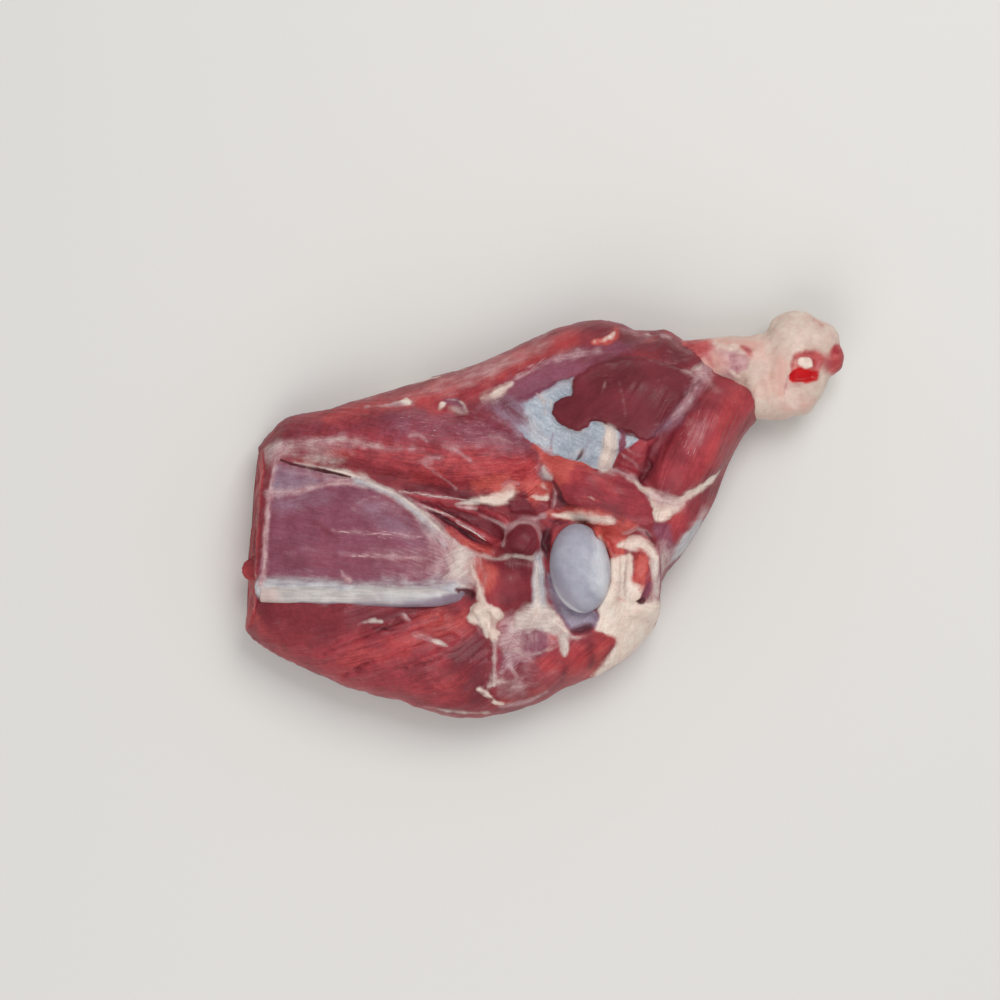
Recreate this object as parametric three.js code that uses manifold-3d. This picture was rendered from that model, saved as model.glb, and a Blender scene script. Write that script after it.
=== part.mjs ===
// Raw lamb foreleg: shoulder and shank in one piece, lying with its inner side up.
// Millimetres, +Z up, the surface it lies on is z = 0, and +X runs from the cut shoulder end to the shank.
import * as THREE from "three";
import { LoftGeometry } from "three/addons/geometries/LoftGeometry.js";
import { mergeVertices } from "three/addons/utils/BufferGeometryUtils.js";
import Module from "manifold-3d";

const wasm = await Module();
wasm.setup();

// Driving dimensions of the meat.
const RIM_HEIGHT = 20; // height of the widest line round the side
const EDGE_ROLL = 32; // how far in from the side the top surface rolls over
const UNDER_ROLL = 15; // how far in from the side the underside lifts off the surface
const CUT_LEAN = 0.33; // the butcher's cut leans this far inwards for each millimetre above that line
const CUT_BOW = 3; // the cut bulges this far at its middle
const CUT_REACH = 30; // length over which that lean and bulge die away
const MUSCLE_BLEND = 5; // rounding of the valley between two muscles
const MUSCLE_FULLNESS = 2.2; // 2 is a plain dome, and more is flatter on top and steeper at the side
const CLEARANCE = 0.4; // gap between a bone and the meat it sits in

// Facets: sections along the meat, and points across its top and its underside.
const SECTIONS = 66;
const TOP_POINTS = 50;
const UNDER_POINTS = 10;
const EDGE_CROWDING = 0.4; // share by which points across the top crowd towards the side

// The plan, as pairs of points that face each other: the upper edge, then the lower edge.
const RIBS = [
  [[-142, 33], [-149, -60]],
  [[-129, 47.4], [-139.8, -68]],
  [[-104, 52.7], [-119.5, -79]],
  [[-81, 59.5], [-96, -87.6]],
  [[-58, 67], [-74.3, -94.4]],
  [[-36, 73.2], [-50.2, -101]],
  [[-13, 83], [-28, -103]],
  [[8.7, 93], [-3.8, -97]],
  [[25, 97], [17, -85.5]],
  [[37.2, 96], [38.7, -76]],
  [[46, 91.9], [54.6, -60]],
  [[55, 91], [58.8, -51]],
  [[61.5, 91.9], [59.4, -39]],
  [[68.5, 87.8], [64, -29.5]],
  [[73, 85.6], [71, -22.5]],
  [[77.5, 83.5], [77.8, -10.4]],
  [[84, 80], [86.5, 5.8]],
  [[90, 74], [92, 22]],
  [[96, 69.5], [99, 36]],
  [[101.5, 65.5], [107.4, 46.3]],
];

// A small flap of meat that hangs over the butcher's cut.
const CUT_FLAP = { at: [-143.8, -28.8, 22], radii: [7.5, 7, 3] };

// Height of the connective layer that the muscles stand on, from the cut end to the shank end.
const BED_HEIGHTS = [38, 43, 46, 49, 51, 50, 45, 35];

// Each muscle is an elliptic dome: its middle, half its length and width, the turn of its
// length from +X in degrees, and how far its crest rises above the layer it stands on.
const MUSCLES = {
  blade_upper: { at: [-66, 35], long: 70, wide: 22, turn: -10, rise: 13 },
  top_edge: { at: [-16, 73], long: 62, wide: 16, turn: 17, rise: 6 },
  blade_plate: { at: [-98, -8], long: 62, wide: 36, turn: -6, rise: 5 },
  shoulder_lower: { at: [-86, -72], long: 74, wide: 32, turn: -14, rise: 8 },
  arm_lower: { at: [8, -72], long: 42, wide: 24, turn: 24, rise: 6 },
  joint_side: { at: [-20, -37], long: 20, wide: 17, turn: 0, rise: 9 },
  round_end: { at: [-11, -14], long: 13, wide: 12, turn: 0, rise: 10 },
  joint_arch: { at: [30, 10], long: 36, wide: 18, turn: -28, rise: 14 },
  shank_deep: { at: [44, 50], long: 38, wide: 28, turn: 12, rise: 9 },
  shank_upper: { at: [34, 78], long: 52, wide: 16, turn: 6, rise: 5 },
  shank_flexor: { at: [80, 36], long: 44, wide: 21, turn: 54, rise: 15 },
  shank_outer: { at: [75, -2], long: 34, wide: 15, turn: 56, rise: 6 },
  joint_fat: { at: [47, -42], long: 27, wide: 18, turn: 78, rise: 8 },
};

// Bone of the shank: a shaft along +X that widens into the knuckle, which stands free.
const SHAFT = { start: [52, 74, 22], length: 66, radius: 11, flare: 5 };
const KNUCKLE = {
  head: { at: [125.6, 73, 21.5], radii: [18.7, 24, 20.5] },
  upper_lobe: { at: [127, 86, 22], radii: [15, 15.5, 17] },
  shoulder: { at: [136, 86.5, 22], radii: [13.4, 10.5, 15] },
  lower_lobe: { at: [119, 61, 20.5], radii: [17, 15, 19] },
  heel: { at: [128.3, 58, 20.5], radii: [10.5, 9.6, 15] },
  corner: { at: [111.5, 55, 20.5], radii: [9, 8.5, 15] },
  collar: { at: [107.5, 60, 24], radii: [10, 13, 17] },
  nub: { at: [143.5, 77.5, 24], radii: [8, 9, 9] },
};
const MARROW_PIT = { at: [130, 74, 44], radii: [8, 6.5, 6] };

// Ball of the open joint, its neck, and the hollow beside it where the joint gapes.
const BALL = { at: [18.4, -27.5, 52], radii: [15, 22.2, 14], turn: 7 };
const BALL_NECK = { radius: 8, depth: 26 };
const JOINT_GAP = { at: [19, -53, 57], radii: [8.5, 8, 13] };

// Free border of the shoulder blade, a long rod of bone half sunk in the meat.
const BORDER = { from: [-134, -40.5, 40.5], to: [-43, -43, 49], radius: 5.2 };

const ROUND_SEGMENTS = 20;
const RING_SEGMENTS = 12;
const SHAFT_STEPS = 6;

// A solid that can be joined and cut, from a three.js geometry.
function solidOf(geometry) {
  const bare = new THREE.BufferGeometry().copy(geometry);
  bare.deleteAttribute("normal");
  bare.deleteAttribute("uv");
  const merged = mergeVertices(bare);
  return new wasm.Manifold(
    new wasm.Mesh({
      numProp: 3,
      vertProperties: merged.attributes.position.array,
      triVerts: new Uint32Array(merged.index.array),
    }),
  );
}

// A three.js mesh, from such a solid.
function meshOf(name, solid, material) {
  const { vertProperties, triVerts } = solid.getMesh();
  const geometry = new THREE.BufferGeometry();
  geometry.setAttribute("position", new THREE.BufferAttribute(vertProperties, 3));
  geometry.setIndex(new THREE.BufferAttribute(triVerts, 1));
  geometry.computeVertexNormals();
  const mesh = new THREE.Mesh(geometry, new THREE.MeshStandardMaterial(material));
  mesh.name = name;
  return mesh;
}

// The larger of two heights, with the valley where they meet rounded.
function softMax(a, b, blend) {
  const near = Math.max(blend - Math.abs(a - b), 0) / blend;
  return Math.max(a, b) + (near * near * blend) / 4;
}

// Height of one muscle's dome at a point of the plan. Outside its ellipse it falls below the bed.
function domeHeight({ at, long, wide, turn, rise }, x, y, bed) {
  const angle = THREE.MathUtils.degToRad(turn);
  const along = (x - at[0]) * Math.cos(angle) + (y - at[1]) * Math.sin(angle);
  const across = (y - at[1]) * Math.cos(angle) - (x - at[0]) * Math.sin(angle);
  const outwards = Math.hypot(along / long, across / wide);
  return bed + rise * (1 - outwards ** MUSCLE_FULLNESS);
}

// Height of the top surface, before its sides roll over.
function topHeight(x, y, bed) {
  return Object.values(MUSCLES).reduce(
    (height, muscle) => softMax(height, domeHeight(muscle, x, y, bed), MUSCLE_BLEND),
    bed,
  );
}

// Rises from 0 at the side to 1 at the given reach, as a quarter of an ellipse does.
function quarterRound(fromSide, reach) {
  const left = Math.max(1 - fromSide / reach, 0);
  return Math.sqrt(1 - left * left);
}

const upperEdge = new THREE.SplineCurve(RIBS.map(([upper]) => new THREE.Vector2(...upper)));
const lowerEdge = new THREE.SplineCurve(RIBS.map(([, lower]) => new THREE.Vector2(...lower)));

// Share across a rib, from 1 at the upper edge to -1 at the lower one, for the top and then the underside.
function shareAcross(index) {
  if (index <= TOP_POINTS) {
    const step = index / TOP_POINTS;
    return EDGE_CROWDING * Math.cos(Math.PI * step) + (1 - EDGE_CROWDING) * (1 - 2 * step);
  }
  return -Math.cos((Math.PI * (index - TOP_POINTS)) / UNDER_POINTS);
}

// One closed section of the meat, at a share of its length.
function section(share) {
  const upper = upperEdge.getPoint(share);
  const lower = lowerEdge.getPoint(share);
  const half = upper.distanceTo(lower) / 2;
  const bedStep = share * (BED_HEIGHTS.length - 1);
  const bedIndex = Math.min(Math.floor(bedStep), BED_HEIGHTS.length - 2);
  const bed = THREE.MathUtils.lerp(
    BED_HEIGHTS[bedIndex],
    BED_HEIGHTS[bedIndex + 1],
    bedStep - bedIndex,
  );
  const fromCut = upper.distanceTo(upperEdge.getPoint(0));
  const cutShare = Math.max(1 - fromCut / CUT_REACH, 0) ** 2;
  const points = [];
  for (let index = 0; index < TOP_POINTS + UNDER_POINTS; index++) {
    const across = shareAcross(index);
    const { x, y } = lower.clone().lerp(upper, (across + 1) / 2);
    const fromSide = (1 - Math.abs(across)) * half;
    const z =
      index <= TOP_POINTS
        ? RIM_HEIGHT +
          (topHeight(x, y, bed) - RIM_HEIGHT) * quarterRound(fromSide, Math.min(EDGE_ROLL, half))
        : RIM_HEIGHT * (1 - quarterRound(fromSide, Math.min(UNDER_ROLL, half)));
    const cutShift = CUT_LEAN * Math.max(z - RIM_HEIGHT, 0) - CUT_BOW * (1 - across * across);
    points.push(new THREE.Vector3(x + cutShare * cutShift, y, z));
  }
  return points;
}

function meatBody() {
  const sections = [];
  for (let index = 0; index <= SECTIONS; index++) sections.push(section(index / SECTIONS));
  return solidOf(new LoftGeometry(sections, { capStart: true, capEnd: true }));
}

// An ellipsoid, grown by a gap where it is to be cut out of its neighbour.
function ellipsoid({ at, radii, turn = 0 }, gap = 0) {
  const shape = new THREE.SphereGeometry(1, ROUND_SEGMENTS, RING_SEGMENTS);
  shape.rotateX(Math.PI / 2);
  shape.scale(...radii.map((radius) => radius + gap));
  shape.rotateZ(THREE.MathUtils.degToRad(turn));
  return solidOf(shape.translate(...at));
}

function shankBone(gap = 0) {
  const { start, length, radius, flare } = SHAFT;
  const profile = [new THREE.Vector2(0, -gap)];
  for (let step = 0; step <= SHAFT_STEPS; step++) {
    const share = step / SHAFT_STEPS;
    profile.push(new THREE.Vector2(radius + gap + flare * share ** 3, length * share - gap));
  }
  profile.push(new THREE.Vector2(0, length));
  const shaft = new THREE.LatheGeometry(profile, ROUND_SEGMENTS);
  shaft.rotateZ(-Math.PI / 2);
  shaft.translate(...start);
  return Object.values(KNUCKLE).reduce(
    (bone, part) => bone.add(ellipsoid(part, gap)),
    solidOf(shaft),
  );
}

function jointBall(gap = 0) {
  const { radius, depth } = BALL_NECK;
  const neck = new THREE.CylinderGeometry(radius + gap, radius + gap, depth + gap, ROUND_SEGMENTS);
  neck.rotateX(Math.PI / 2);
  neck.translate(BALL.at[0], BALL.at[1], BALL.at[2] - (depth + gap) / 2);
  return ellipsoid(BALL, gap).add(solidOf(neck));
}

function bladeBorder(gap = 0) {
  const from = new THREE.Vector3(...BORDER.from);
  const to = new THREE.Vector3(...BORDER.to);
  const run = to.clone().sub(from);
  const rod = new THREE.CapsuleGeometry(BORDER.radius + gap, run.length(), 4, RING_SEGMENTS, 1);
  rod.applyQuaternion(
    new THREE.Quaternion().setFromUnitVectors(new THREE.Vector3(0, 1, 0), run.clone().normalize()),
  );
  const middle = from.add(to).multiplyScalar(0.5);
  return solidOf(rod.translate(middle.x, middle.y, middle.z));
}

const RAW_LEAN = { color: 0x8e3a40, roughness: 0.45, metalness: 0 };
const BONE = { color: 0xd8cabd, roughness: 0.5, metalness: 0 };
const CARTILAGE = { color: 0xa3a8bd, roughness: 0.3, metalness: 0 };
const PERIOSTEUM = { color: 0xc4c4c4, roughness: 0.4, metalness: 0 };

const meat = meatBody()
  .add(ellipsoid(CUT_FLAP))
  .subtract(shankBone(CLEARANCE))
  .subtract(jointBall(CLEARANCE))
  .subtract(ellipsoid(JOINT_GAP))
  .subtract(bladeBorder(CLEARANCE));

const foreleg = new THREE.Group();
foreleg.add(
  meshOf("meat", meat, RAW_LEAN),
  meshOf("shank_bone", shankBone().subtract(ellipsoid(MARROW_PIT)), BONE),
  meshOf("joint_ball", jointBall(), CARTILAGE),
  meshOf("blade_border", bladeBorder(), PERIOSTEUM),
);

// The origin is the middle of the whole leg's box, on the surface it lies on.
const box = new THREE.Box3().setFromObject(foreleg);
const middle = box.getCenter(new THREE.Vector3());
for (const mesh of foreleg.children) mesh.geometry.translate(-middle.x, -middle.y, -box.min.z);

export default foreleg;
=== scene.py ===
"""Raw lamb foreleg, shoulder and shank in one piece, lying with its inner side up.

Plan places are millimetres in the drawing that the model is made from: +X runs from the cut shoulder
end to the shank, +Y to the shank's front edge and +Z up, and `placed` moves them into the model's frame.
"""

import math
from functools import partial
from typing import NamedTuple

import bmesh
import bpy
import numpy as np
from bpy.props import FloatProperty, FloatVectorProperty, IntProperty, PointerProperty
from mathutils import Matrix, Vector


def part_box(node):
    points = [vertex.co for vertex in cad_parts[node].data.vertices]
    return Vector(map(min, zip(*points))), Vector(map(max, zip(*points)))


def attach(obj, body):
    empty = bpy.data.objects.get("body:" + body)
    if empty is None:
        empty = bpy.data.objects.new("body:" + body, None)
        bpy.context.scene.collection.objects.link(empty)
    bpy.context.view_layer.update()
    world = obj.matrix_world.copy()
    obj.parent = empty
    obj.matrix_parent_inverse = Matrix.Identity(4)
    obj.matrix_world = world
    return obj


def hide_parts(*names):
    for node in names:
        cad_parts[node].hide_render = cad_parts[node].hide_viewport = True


bl_info = {
    "name": "Raw lamb foreleg",
    "version": (1, 0, 0),
    "blender": (4, 5, 0),
    "location": "View3D > Sidebar > Foreleg",
    "description": "Dresses the model of a raw lamb foreleg in meat, fat, bone and cartilage",
    "category": "Add Mesh",
}

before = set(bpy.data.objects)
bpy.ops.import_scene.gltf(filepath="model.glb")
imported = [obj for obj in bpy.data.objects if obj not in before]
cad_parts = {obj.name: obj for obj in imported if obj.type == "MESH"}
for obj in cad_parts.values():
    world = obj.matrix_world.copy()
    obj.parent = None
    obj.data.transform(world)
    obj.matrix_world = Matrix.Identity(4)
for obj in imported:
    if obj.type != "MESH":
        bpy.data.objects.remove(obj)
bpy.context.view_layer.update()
MM = 0.001

# The meat's main form, as the model has it: the height where its top meets its underside, how far in from
# its side each of them rounds over, and how the cut leans and bows.
RIM_HEIGHT = 20.0
EDGE_ROLL = 32.0
UNDER_ROLL = 15.0
CUT_LEAN = 0.33
CUT_BOW = 3.0
CUT_REACH = 30.0
# The two ends of each rib of the plan, from the cut to the shank.
RIBS = (
    ((-142, 33), (-149, -60)), ((-129, 47.4), (-139.8, -68)), ((-104, 52.7), (-119.5, -79)),
    ((-81, 59.5), (-96, -87.6)), ((-58, 67), (-74.3, -94.4)), ((-36, 73.2), (-50.2, -101)),
    ((-13, 83), (-28, -103)), ((8.7, 93), (-3.8, -97)), ((25, 97), (17, -85.5)),
    ((37.2, 96), (38.7, -76)), ((46, 91.9), (54.6, -60)), ((55, 91), (58.8, -51)),
    ((61.5, 91.9), (59.4, -39)), ((68.5, 87.8), (64, -29.5)), ((73, 85.6), (71, -22.5)),
    ((77.5, 83.5), (77.8, -10.4)), ((84, 80), (86.5, 5.8)), ((90, 74), (92, 22)),
    ((96, 69.5), (99, 36)), ((101.5, 65.5), (107.4, 46.3)),
)
BED_HEIGHTS = (38, 43, 46, 49, 51, 50, 45, 35)
# The middle and radii of the small flap that hangs over the cut.
CUT_FLAP = ((-143.8, -28.8, 22), (7.5, 7, 3))


class Muscle(NamedTuple):
    """An elliptic dome on the bed.

    turn and fibre are the directions of its length and of its fibres from +X in degrees, and calm is how
    evenly it is coloured.
    """

    at: tuple
    long: float
    wide: float
    turn: float
    rise: float
    fibre: float
    calm: float


MUSCLES = {
    "blade_upper": Muscle((-66, 35), 70, 22, -10, 13, -7, 0.2),
    "top_edge": Muscle((-16, 73), 62, 16, 17, 6, 19, 0.75),
    "blade_plate": Muscle((-98, -8), 62, 36, -6, 5, -3, 0.7),
    "shoulder_lower": Muscle((-86, -72), 74, 32, -14, 8, 18, 0.55),
    "arm_lower": Muscle((8, -72), 42, 24, 24, 6, 34, 0.75),
    "joint_side": Muscle((-20, -37), 20, 17, 0, 9, -70, 0.75),
    "round_end": Muscle((-11, -14), 13, 12, 0, 10, 40, 0.75),
    "joint_arch": Muscle((30, 10), 36, 18, -28, 14, -36, 0.7),
    "shank_deep": Muscle((44, 50), 38, 28, 12, 9, 24, 0.82),
    "shank_upper": Muscle((34, 78), 52, 16, 6, 5, 4, 0.75),
    "shank_flexor": Muscle((80, 36), 44, 21, 54, 15, 58, 0.78),
    "shank_outer": Muscle((75, -2), 34, 15, 56, 6, 60, 0.75),
    "joint_fat": Muscle((47, -42), 27, 18, 78, 8, 80, 0.5),
}
# Above 2 a dome is flatter on top and steeper at its sides.
MUSCLE_FULLNESS = 2.2
BALL_AT = (18.4, -27.5, 52.0)
BALL_RADII = (15.0, 22.2, 14.0)
BALL_TURN = 7.0

ball_low, ball_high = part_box("joint_ball")
DRAWING_SHIFT = np.array([(a + b) / 2 / MM for a, b in zip(ball_low, ball_high)])[:2] - BALL_AT[:2]


class Feature(NamedTuple):
    """Tissue on a surface: a closed outline in plan, or a band where it has a width at each point.

    lift is how far its middle rises or sinks, edge the width over which it fades out, ragged how far its
    border wanders, in millimetres, and amount the share of what lies under it that it hides.
    """

    tissue: str
    path: tuple
    widths: tuple = ()
    lift: float = 0.0
    edge: float = 1.8
    ragged: float = 0.6
    amount: float = 1.0


def brush(tissue, edge, ragged, amount):
    """A maker of features of one tissue, with the edge, raggedness and amount that they mostly have."""
    return partial(Feature, tissue, edge=edge, ragged=ragged, amount=amount)


# The tissues, named as in TISSUE_COLOURS, and chips of fat on the bone.
chip = brush("chip", 3, 1, 0.6)
dusk = brush("dusk", 5, 0.5, 0.9)
fat = brush("fat", 4, 0.8, 1)
film = brush("film", 3, 0.6, 0.5)
flesh = brush("flesh", 3, 1, 0.85)
fresh = brush("fresh", 10, 2, 0.4)
# Gap shade is painted shade: dark colour laid in the crevices, slits and holes between muscles.
gap = brush("gap", 1.6, 0.6, 0.5)
# Glints are painted highlights: short streaks of wet light, with some torn bits of film.
glint = brush("glint", 3, 0.6, 0.8)
lean = brush("lean", 2.4, 0.6, 0.9)
maroon = brush("maroon", 3, 0.6, 0.55)
marrow = brush("marrow", 3.4, 0.8, 0.5)
mauve = brush("mauve", 3, 0.6, 0.8)
orange = brush("orange", 4, 0.6, 0.5)
pearl = brush("pearl", 7, 0.6, 0.85)
rosy = brush("rosy", 8, 1.5, 0.5)
shade = brush("shade", 4, 0.6, 0.5)
sheen = brush("sheen", 4, 0.8, 1)
silver = brush("silver", 1.8, 0.7, 1)
tendon = brush("tendon", 2, 0.6, 0.7)
veil = brush("veil", 6, 0.6, 0.75)

# Tissue of the meat from the blade's end to the shank, where each feature lies on those before it.
BLADE_FEATURES = (
    mauve(((-73.8, 52.2), (-31.2, 49.2), (-3.8, 39.2), (-7.2, 28.2), (-31.2, 31.2), (-71.2, 36.2)),
        edge=14, ragged=2, amount=0.62),
    film(((-78.8, 51.2), (-51.2, 50.2), (-21.2, 46.2), (-3.8, 38.2), (-8.2, 27.2), (-36.2, 31.2),
        (-73.8, 37.2)), edge=12, ragged=1, amount=0.18),
    mauve(((-126.2, 41.2), (-106.2, 47.2), (-76.2, 51.2), (-73.2, 39.2), (-98.8, 37.2), (-116.2, 38.2)),
        edge=12, ragged=2, amount=0.5),
    maroon(((-123.2, 41.2), (-106.2, 46.2), (-78.2, 50.2), (-76.2, 40.2), (-98.8, 38.2)), edge=12,
        ragged=2, amount=0.35),
    glint(((-73.8, 53.8), (-21.2, 52.2), (-2.2, 39.2), (-6.2, 23.2), (-36.2, 28.2), (-71.2, 36.2)),
        edge=8),
    fresh(((-101.2, 32.2), (-61.2, 32.2), (-26.2, 23.2), (-21.2, 13.2), (-56.2, 12.2), (-81.2, 19.2))),
    fresh(((-106.2, 46.2), (-71.2, 56.8), (-51.2, 61.2), (-31.2, 67.2), (-6.2, 79.2), (13.8, 87.2)),
        (6, 8, 12, 14, 12, 10), edge=9, ragged=1, amount=0.85),
    orange(((-71.2, 58.2), (-51.2, 63.2), (-31.2, 69.2), (-6.2, 81.2)), (3, 8, 10, 8), edge=8, ragged=1),
    film(((-73.8, 58.2), (-51.2, 63.2), (-33.8, 68.8), (-18.8, 75.8), (1.2, 85.2)), (3, 9, 11, 10, 6),
        edge=9),
    film(((-49.8, 33.2), (-43.2, 30.8), (-35.8, 25.8)), (0.6, 1.4, 0.8), edge=2.4, ragged=0.4,
        amount=0.75),
    film(((-62.8, 24.2), (-56.2, 26.5), (-48.8, 27.2)), (1.4, 2.6, 1), ragged=1, amount=0.6),
    film(((-66.2, 37.8), (-60.8, 38.2), (-57.2, 35.2)), (0.6, 1, 0.8), edge=2, ragged=0.4, amount=0.7),
    film(((-25.2, 37.8), (-20.2, 36.8), (-15.2, 34.8)), (0.8, 2, 0.8), amount=0.6),
    film(((-59.2, 23.8), (-51.2, 18.2), (-43.2, 10.8)), (0.6, 1, 1.2), edge=2.4, ragged=0.4, amount=0.6),
    mauve(((-132.8, 25.2), (-119.2, 22.8), (-104.2, 19.2), (-90.2, 15.2), (-77.2, 8.2), (-65.2, -0.8),
        (-54.2, -10.8), (-43.2, -21.8), (-43.2, -30.8), (-51.2, -34.8), (-71.2, -35.8), (-106.2, -35.2),
        (-140.2, -35.2), (-138.2, -13.8), (-136.2, 6.2)), lift=-1, amount=1),
    shade(((-133.2, 24.2), (-119.2, 21.8), (-104.2, 18.2), (-91.2, 14.2), (-106.2, 13.8), (-119.2, 11.2),
        (-135.2, 9.8))),
    film(((-130.2, 22.2), (-116.2, 19.2), (-101.2, 15.8)), (1, 2.6, 1), edge=5, ragged=0.5, amount=0.45),
    maroon(((-137.2, 8.2), (-106.2, 11.2), (-96.2, 6.2), (-121.2, -13.8), (-106.2, -23.8),
        (-121.2, -30.8), (-139.2, -31.8)), edge=16, ragged=2, amount=0.22),
    shade(((-96.2, 11.2), (-78.8, 4.2), (-63.8, -7.2), (-56.2, -16.8), (-68.8, -16.2), (-86.2, -3.8)),
        edge=14, ragged=1, amount=0.35),
    film(((-95.2, 2.2), (-91.2, 5.2), (-85.2, 7.8), (-79.2, 8.2)), (0.6, 1.2, 1.2, 0.6), ragged=0.3,
        amount=0.35),
    shade(((-134.2, 13.2), (-106.2, 13.2), (-104.2, 5.2), (-121.2, 0.2), (-135.2, 0.2)), edge=10,
        ragged=1, amount=0.32),
    maroon(((-113.2, -4.8), (-107.2, -8.8), (-101.2, -13.8)), (0.6, 2, 1), ragged=0.8, amount=0.7),
    lean(((-112.2, -13.8), (-96.2, -12.8), (-51.2, -16.8), (-48.2, -24.8), (-71.2, -31.2),
        (-116.2, -28.8)), edge=12, ragged=2, amount=0.2),
    film(((-85.2, -17.8), (-66.2, -16.8), (-49.2, -19.8), (-49.2, -27.8), (-66.2, -30.8),
        (-81.2, -27.8)), edge=9, ragged=1, amount=0.3),
    film(((-103.2, -9.2), (-83.8, -9.8), (-61.2, -12.2)), (1.6, 3.4, 2), edge=4, amount=0.34),
    glint(((-103.8, -9.2), (-83.8, -10.2), (-60.2, -12.2)), (4, 6, 5), amount=1.12),
    film(((-100.2, -20.8), (-78.8, -21.8), (-55.2, -23.2)), (1, 1.8, 1.2)),
    glint(((-100.2, -20.8), (-78.8, -21.8), (-55.2, -23.2)), (2.5, 4, 3), amount=1.16),
    film(((-128.2, -20.2), (-118.8, -18.2), (-107.2, -19.2)), (0.6, 1.4, 0.6), ragged=0.8, amount=0.28),
    film(((-137.8, 10.2), (-126.2, 10.2), (-118.8, 11.8), (-110.2, 14), (-98.8, 15.5), (-88.2, 13.8)),
        (3, 3, 2.6, 2.6, 3, 4), lift=0.4, edge=4, ragged=0.3, amount=0.72),
    film(((-133.2, 36.2), (-118.8, 37.8), (-98.8, 35.2), (-95.2, 30.2), (-106.2, 25.2), (-123.2, 27.2),
        (-134.2, 30.2)), edge=9, ragged=1),
    tendon(((-144.2, 23.2), (-141.8, 31.2), (-138.2, 34.8), (-131.2, 37.2), (-128.2, 33.2),
        (-133.2, 29.8), (-137.2, 25.8)), edge=8, ragged=0.5, amount=0.62),
    film(((-142.2, 26.2), (-139.2, 33.2), (-130.2, 36.2), (-127.2, 31.2), (-135.2, 25.2)), edge=6,
        ragged=1),
    tendon(((-121.2, 28.8), (-110.2, 28.2), (-98.2, 26.8), (-106.2, 23.8), (-118.2, 25.2)), edge=6,
        ragged=1, amount=0.5),
    film(((-115.2, 34.8), (-101.2, 36.2), (-88.8, 34.2), (-77.2, 31.8), (-58.8, 31.2)),
        (2, 5, 5, 3, 1.4), edge=5, amount=0.55),
    tendon(((-106.2, 36.2), (-98.2, 36.5), (-89.2, 34.2), (-80.2, 32.2)), (1, 2.4, 2.4, 1), lift=0.3,
        edge=3.4, amount=0.5),
    orange(((-106.2, 31.8), (-95.2, 31.2), (-96.2, 26.2), (-104.2, 27.2)), edge=6, amount=0.4),
    tendon(((-123.2, 24.8), (-110.2, 21.8), (-97.2, 19.2), (-84.2, 14.8)), (0.8, 2.2, 3, 2), lift=0.8,
        edge=3.4, ragged=0.3, amount=0.95),
    fat(((-110.2, 22.2), (-98.8, 19.8), (-88.2, 16.8)), (0.8, 2, 1), edge=2.6, ragged=0.3, amount=0.7),
    gap(((-131.2, 26.8), (-121.8, 23.8), (-108.8, 21), (-95.2, 17.8)), (0.8, 1.2, 2, 0.8), lift=-2.2,
        edge=1.5, ragged=0.2, amount=1),
    film(((-78.8, 10.2), (-67.2, 3.2), (-57.2, -5.8), (-48.2, -16.8)), (3, 5, 6, 7), edge=10),
    sheen(((-92.8, 15.8), (-80.8, 12.2), (-69.2, 6.2), (-59.2, -2.2), (-47.8, -14.8)), (2, 3, 4, 4.6, 6),
        lift=1.2, edge=5, ragged=0.2, amount=0.9),
    tendon(((-87.2, 15.8), (-75.2, 10.8), (-63.2, 2.8), (-52.2, -7.2), (-41.2, -18.2)),
        (1.4, 2, 2.2, 2.6, 3.6), lift=0.6, edge=2.6, ragged=0.2, amount=0.95),
    film(((-54.2, -10.8), (-37.2, -16.8), (-31.2, -23.8), (-32.2, -35.8), (-51.2, -35.8), (-50.2, -32.8),
        (-46.8, -29.8), (-45.2, -21.8)), edge=10, ragged=0.5, amount=0.85),
    tendon(((-48.2, -21.8), (-39.2, -16.2), (-32.2, -22.2), (-32.8, -32.2), (-38.2, -34.8),
        (-48.2, -34.2), (-50.8, -32.8), (-47.2, -29.2)), lift=1.2, edge=8, ragged=0.4, amount=0.74),
    film(((-69.2, -33.8), (-57.2, -28.8), (-47.2, -23.8)), (2, 4, 3), edge=7, ragged=0.8),
    sheen(((-140.2, -37.8), (-121.2, -37.8), (-101.2, -38.2), (-81.2, -39.2), (-61.2, -38.8),
        (-43.2, -37.8)), (10, 9, 8, 7, 7, 7), lift=2.6, edge=8, ragged=0.1),
    film(((-100.2, -28.8), (-98.8, -31.8), (-96.2, -33.8)), (0.8, 2, 3), edge=2.6, ragged=0.4,
        amount=0.8),
    film(((-132.8, 28.2), (-135.2, 16.2), (-136.8, 1.2), (-138.2, -13.8), (-140.2, -35.8)),
        (1, 1.8, 2.2, 2.6, 3), ragged=0.4, amount=0.8),
)
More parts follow.
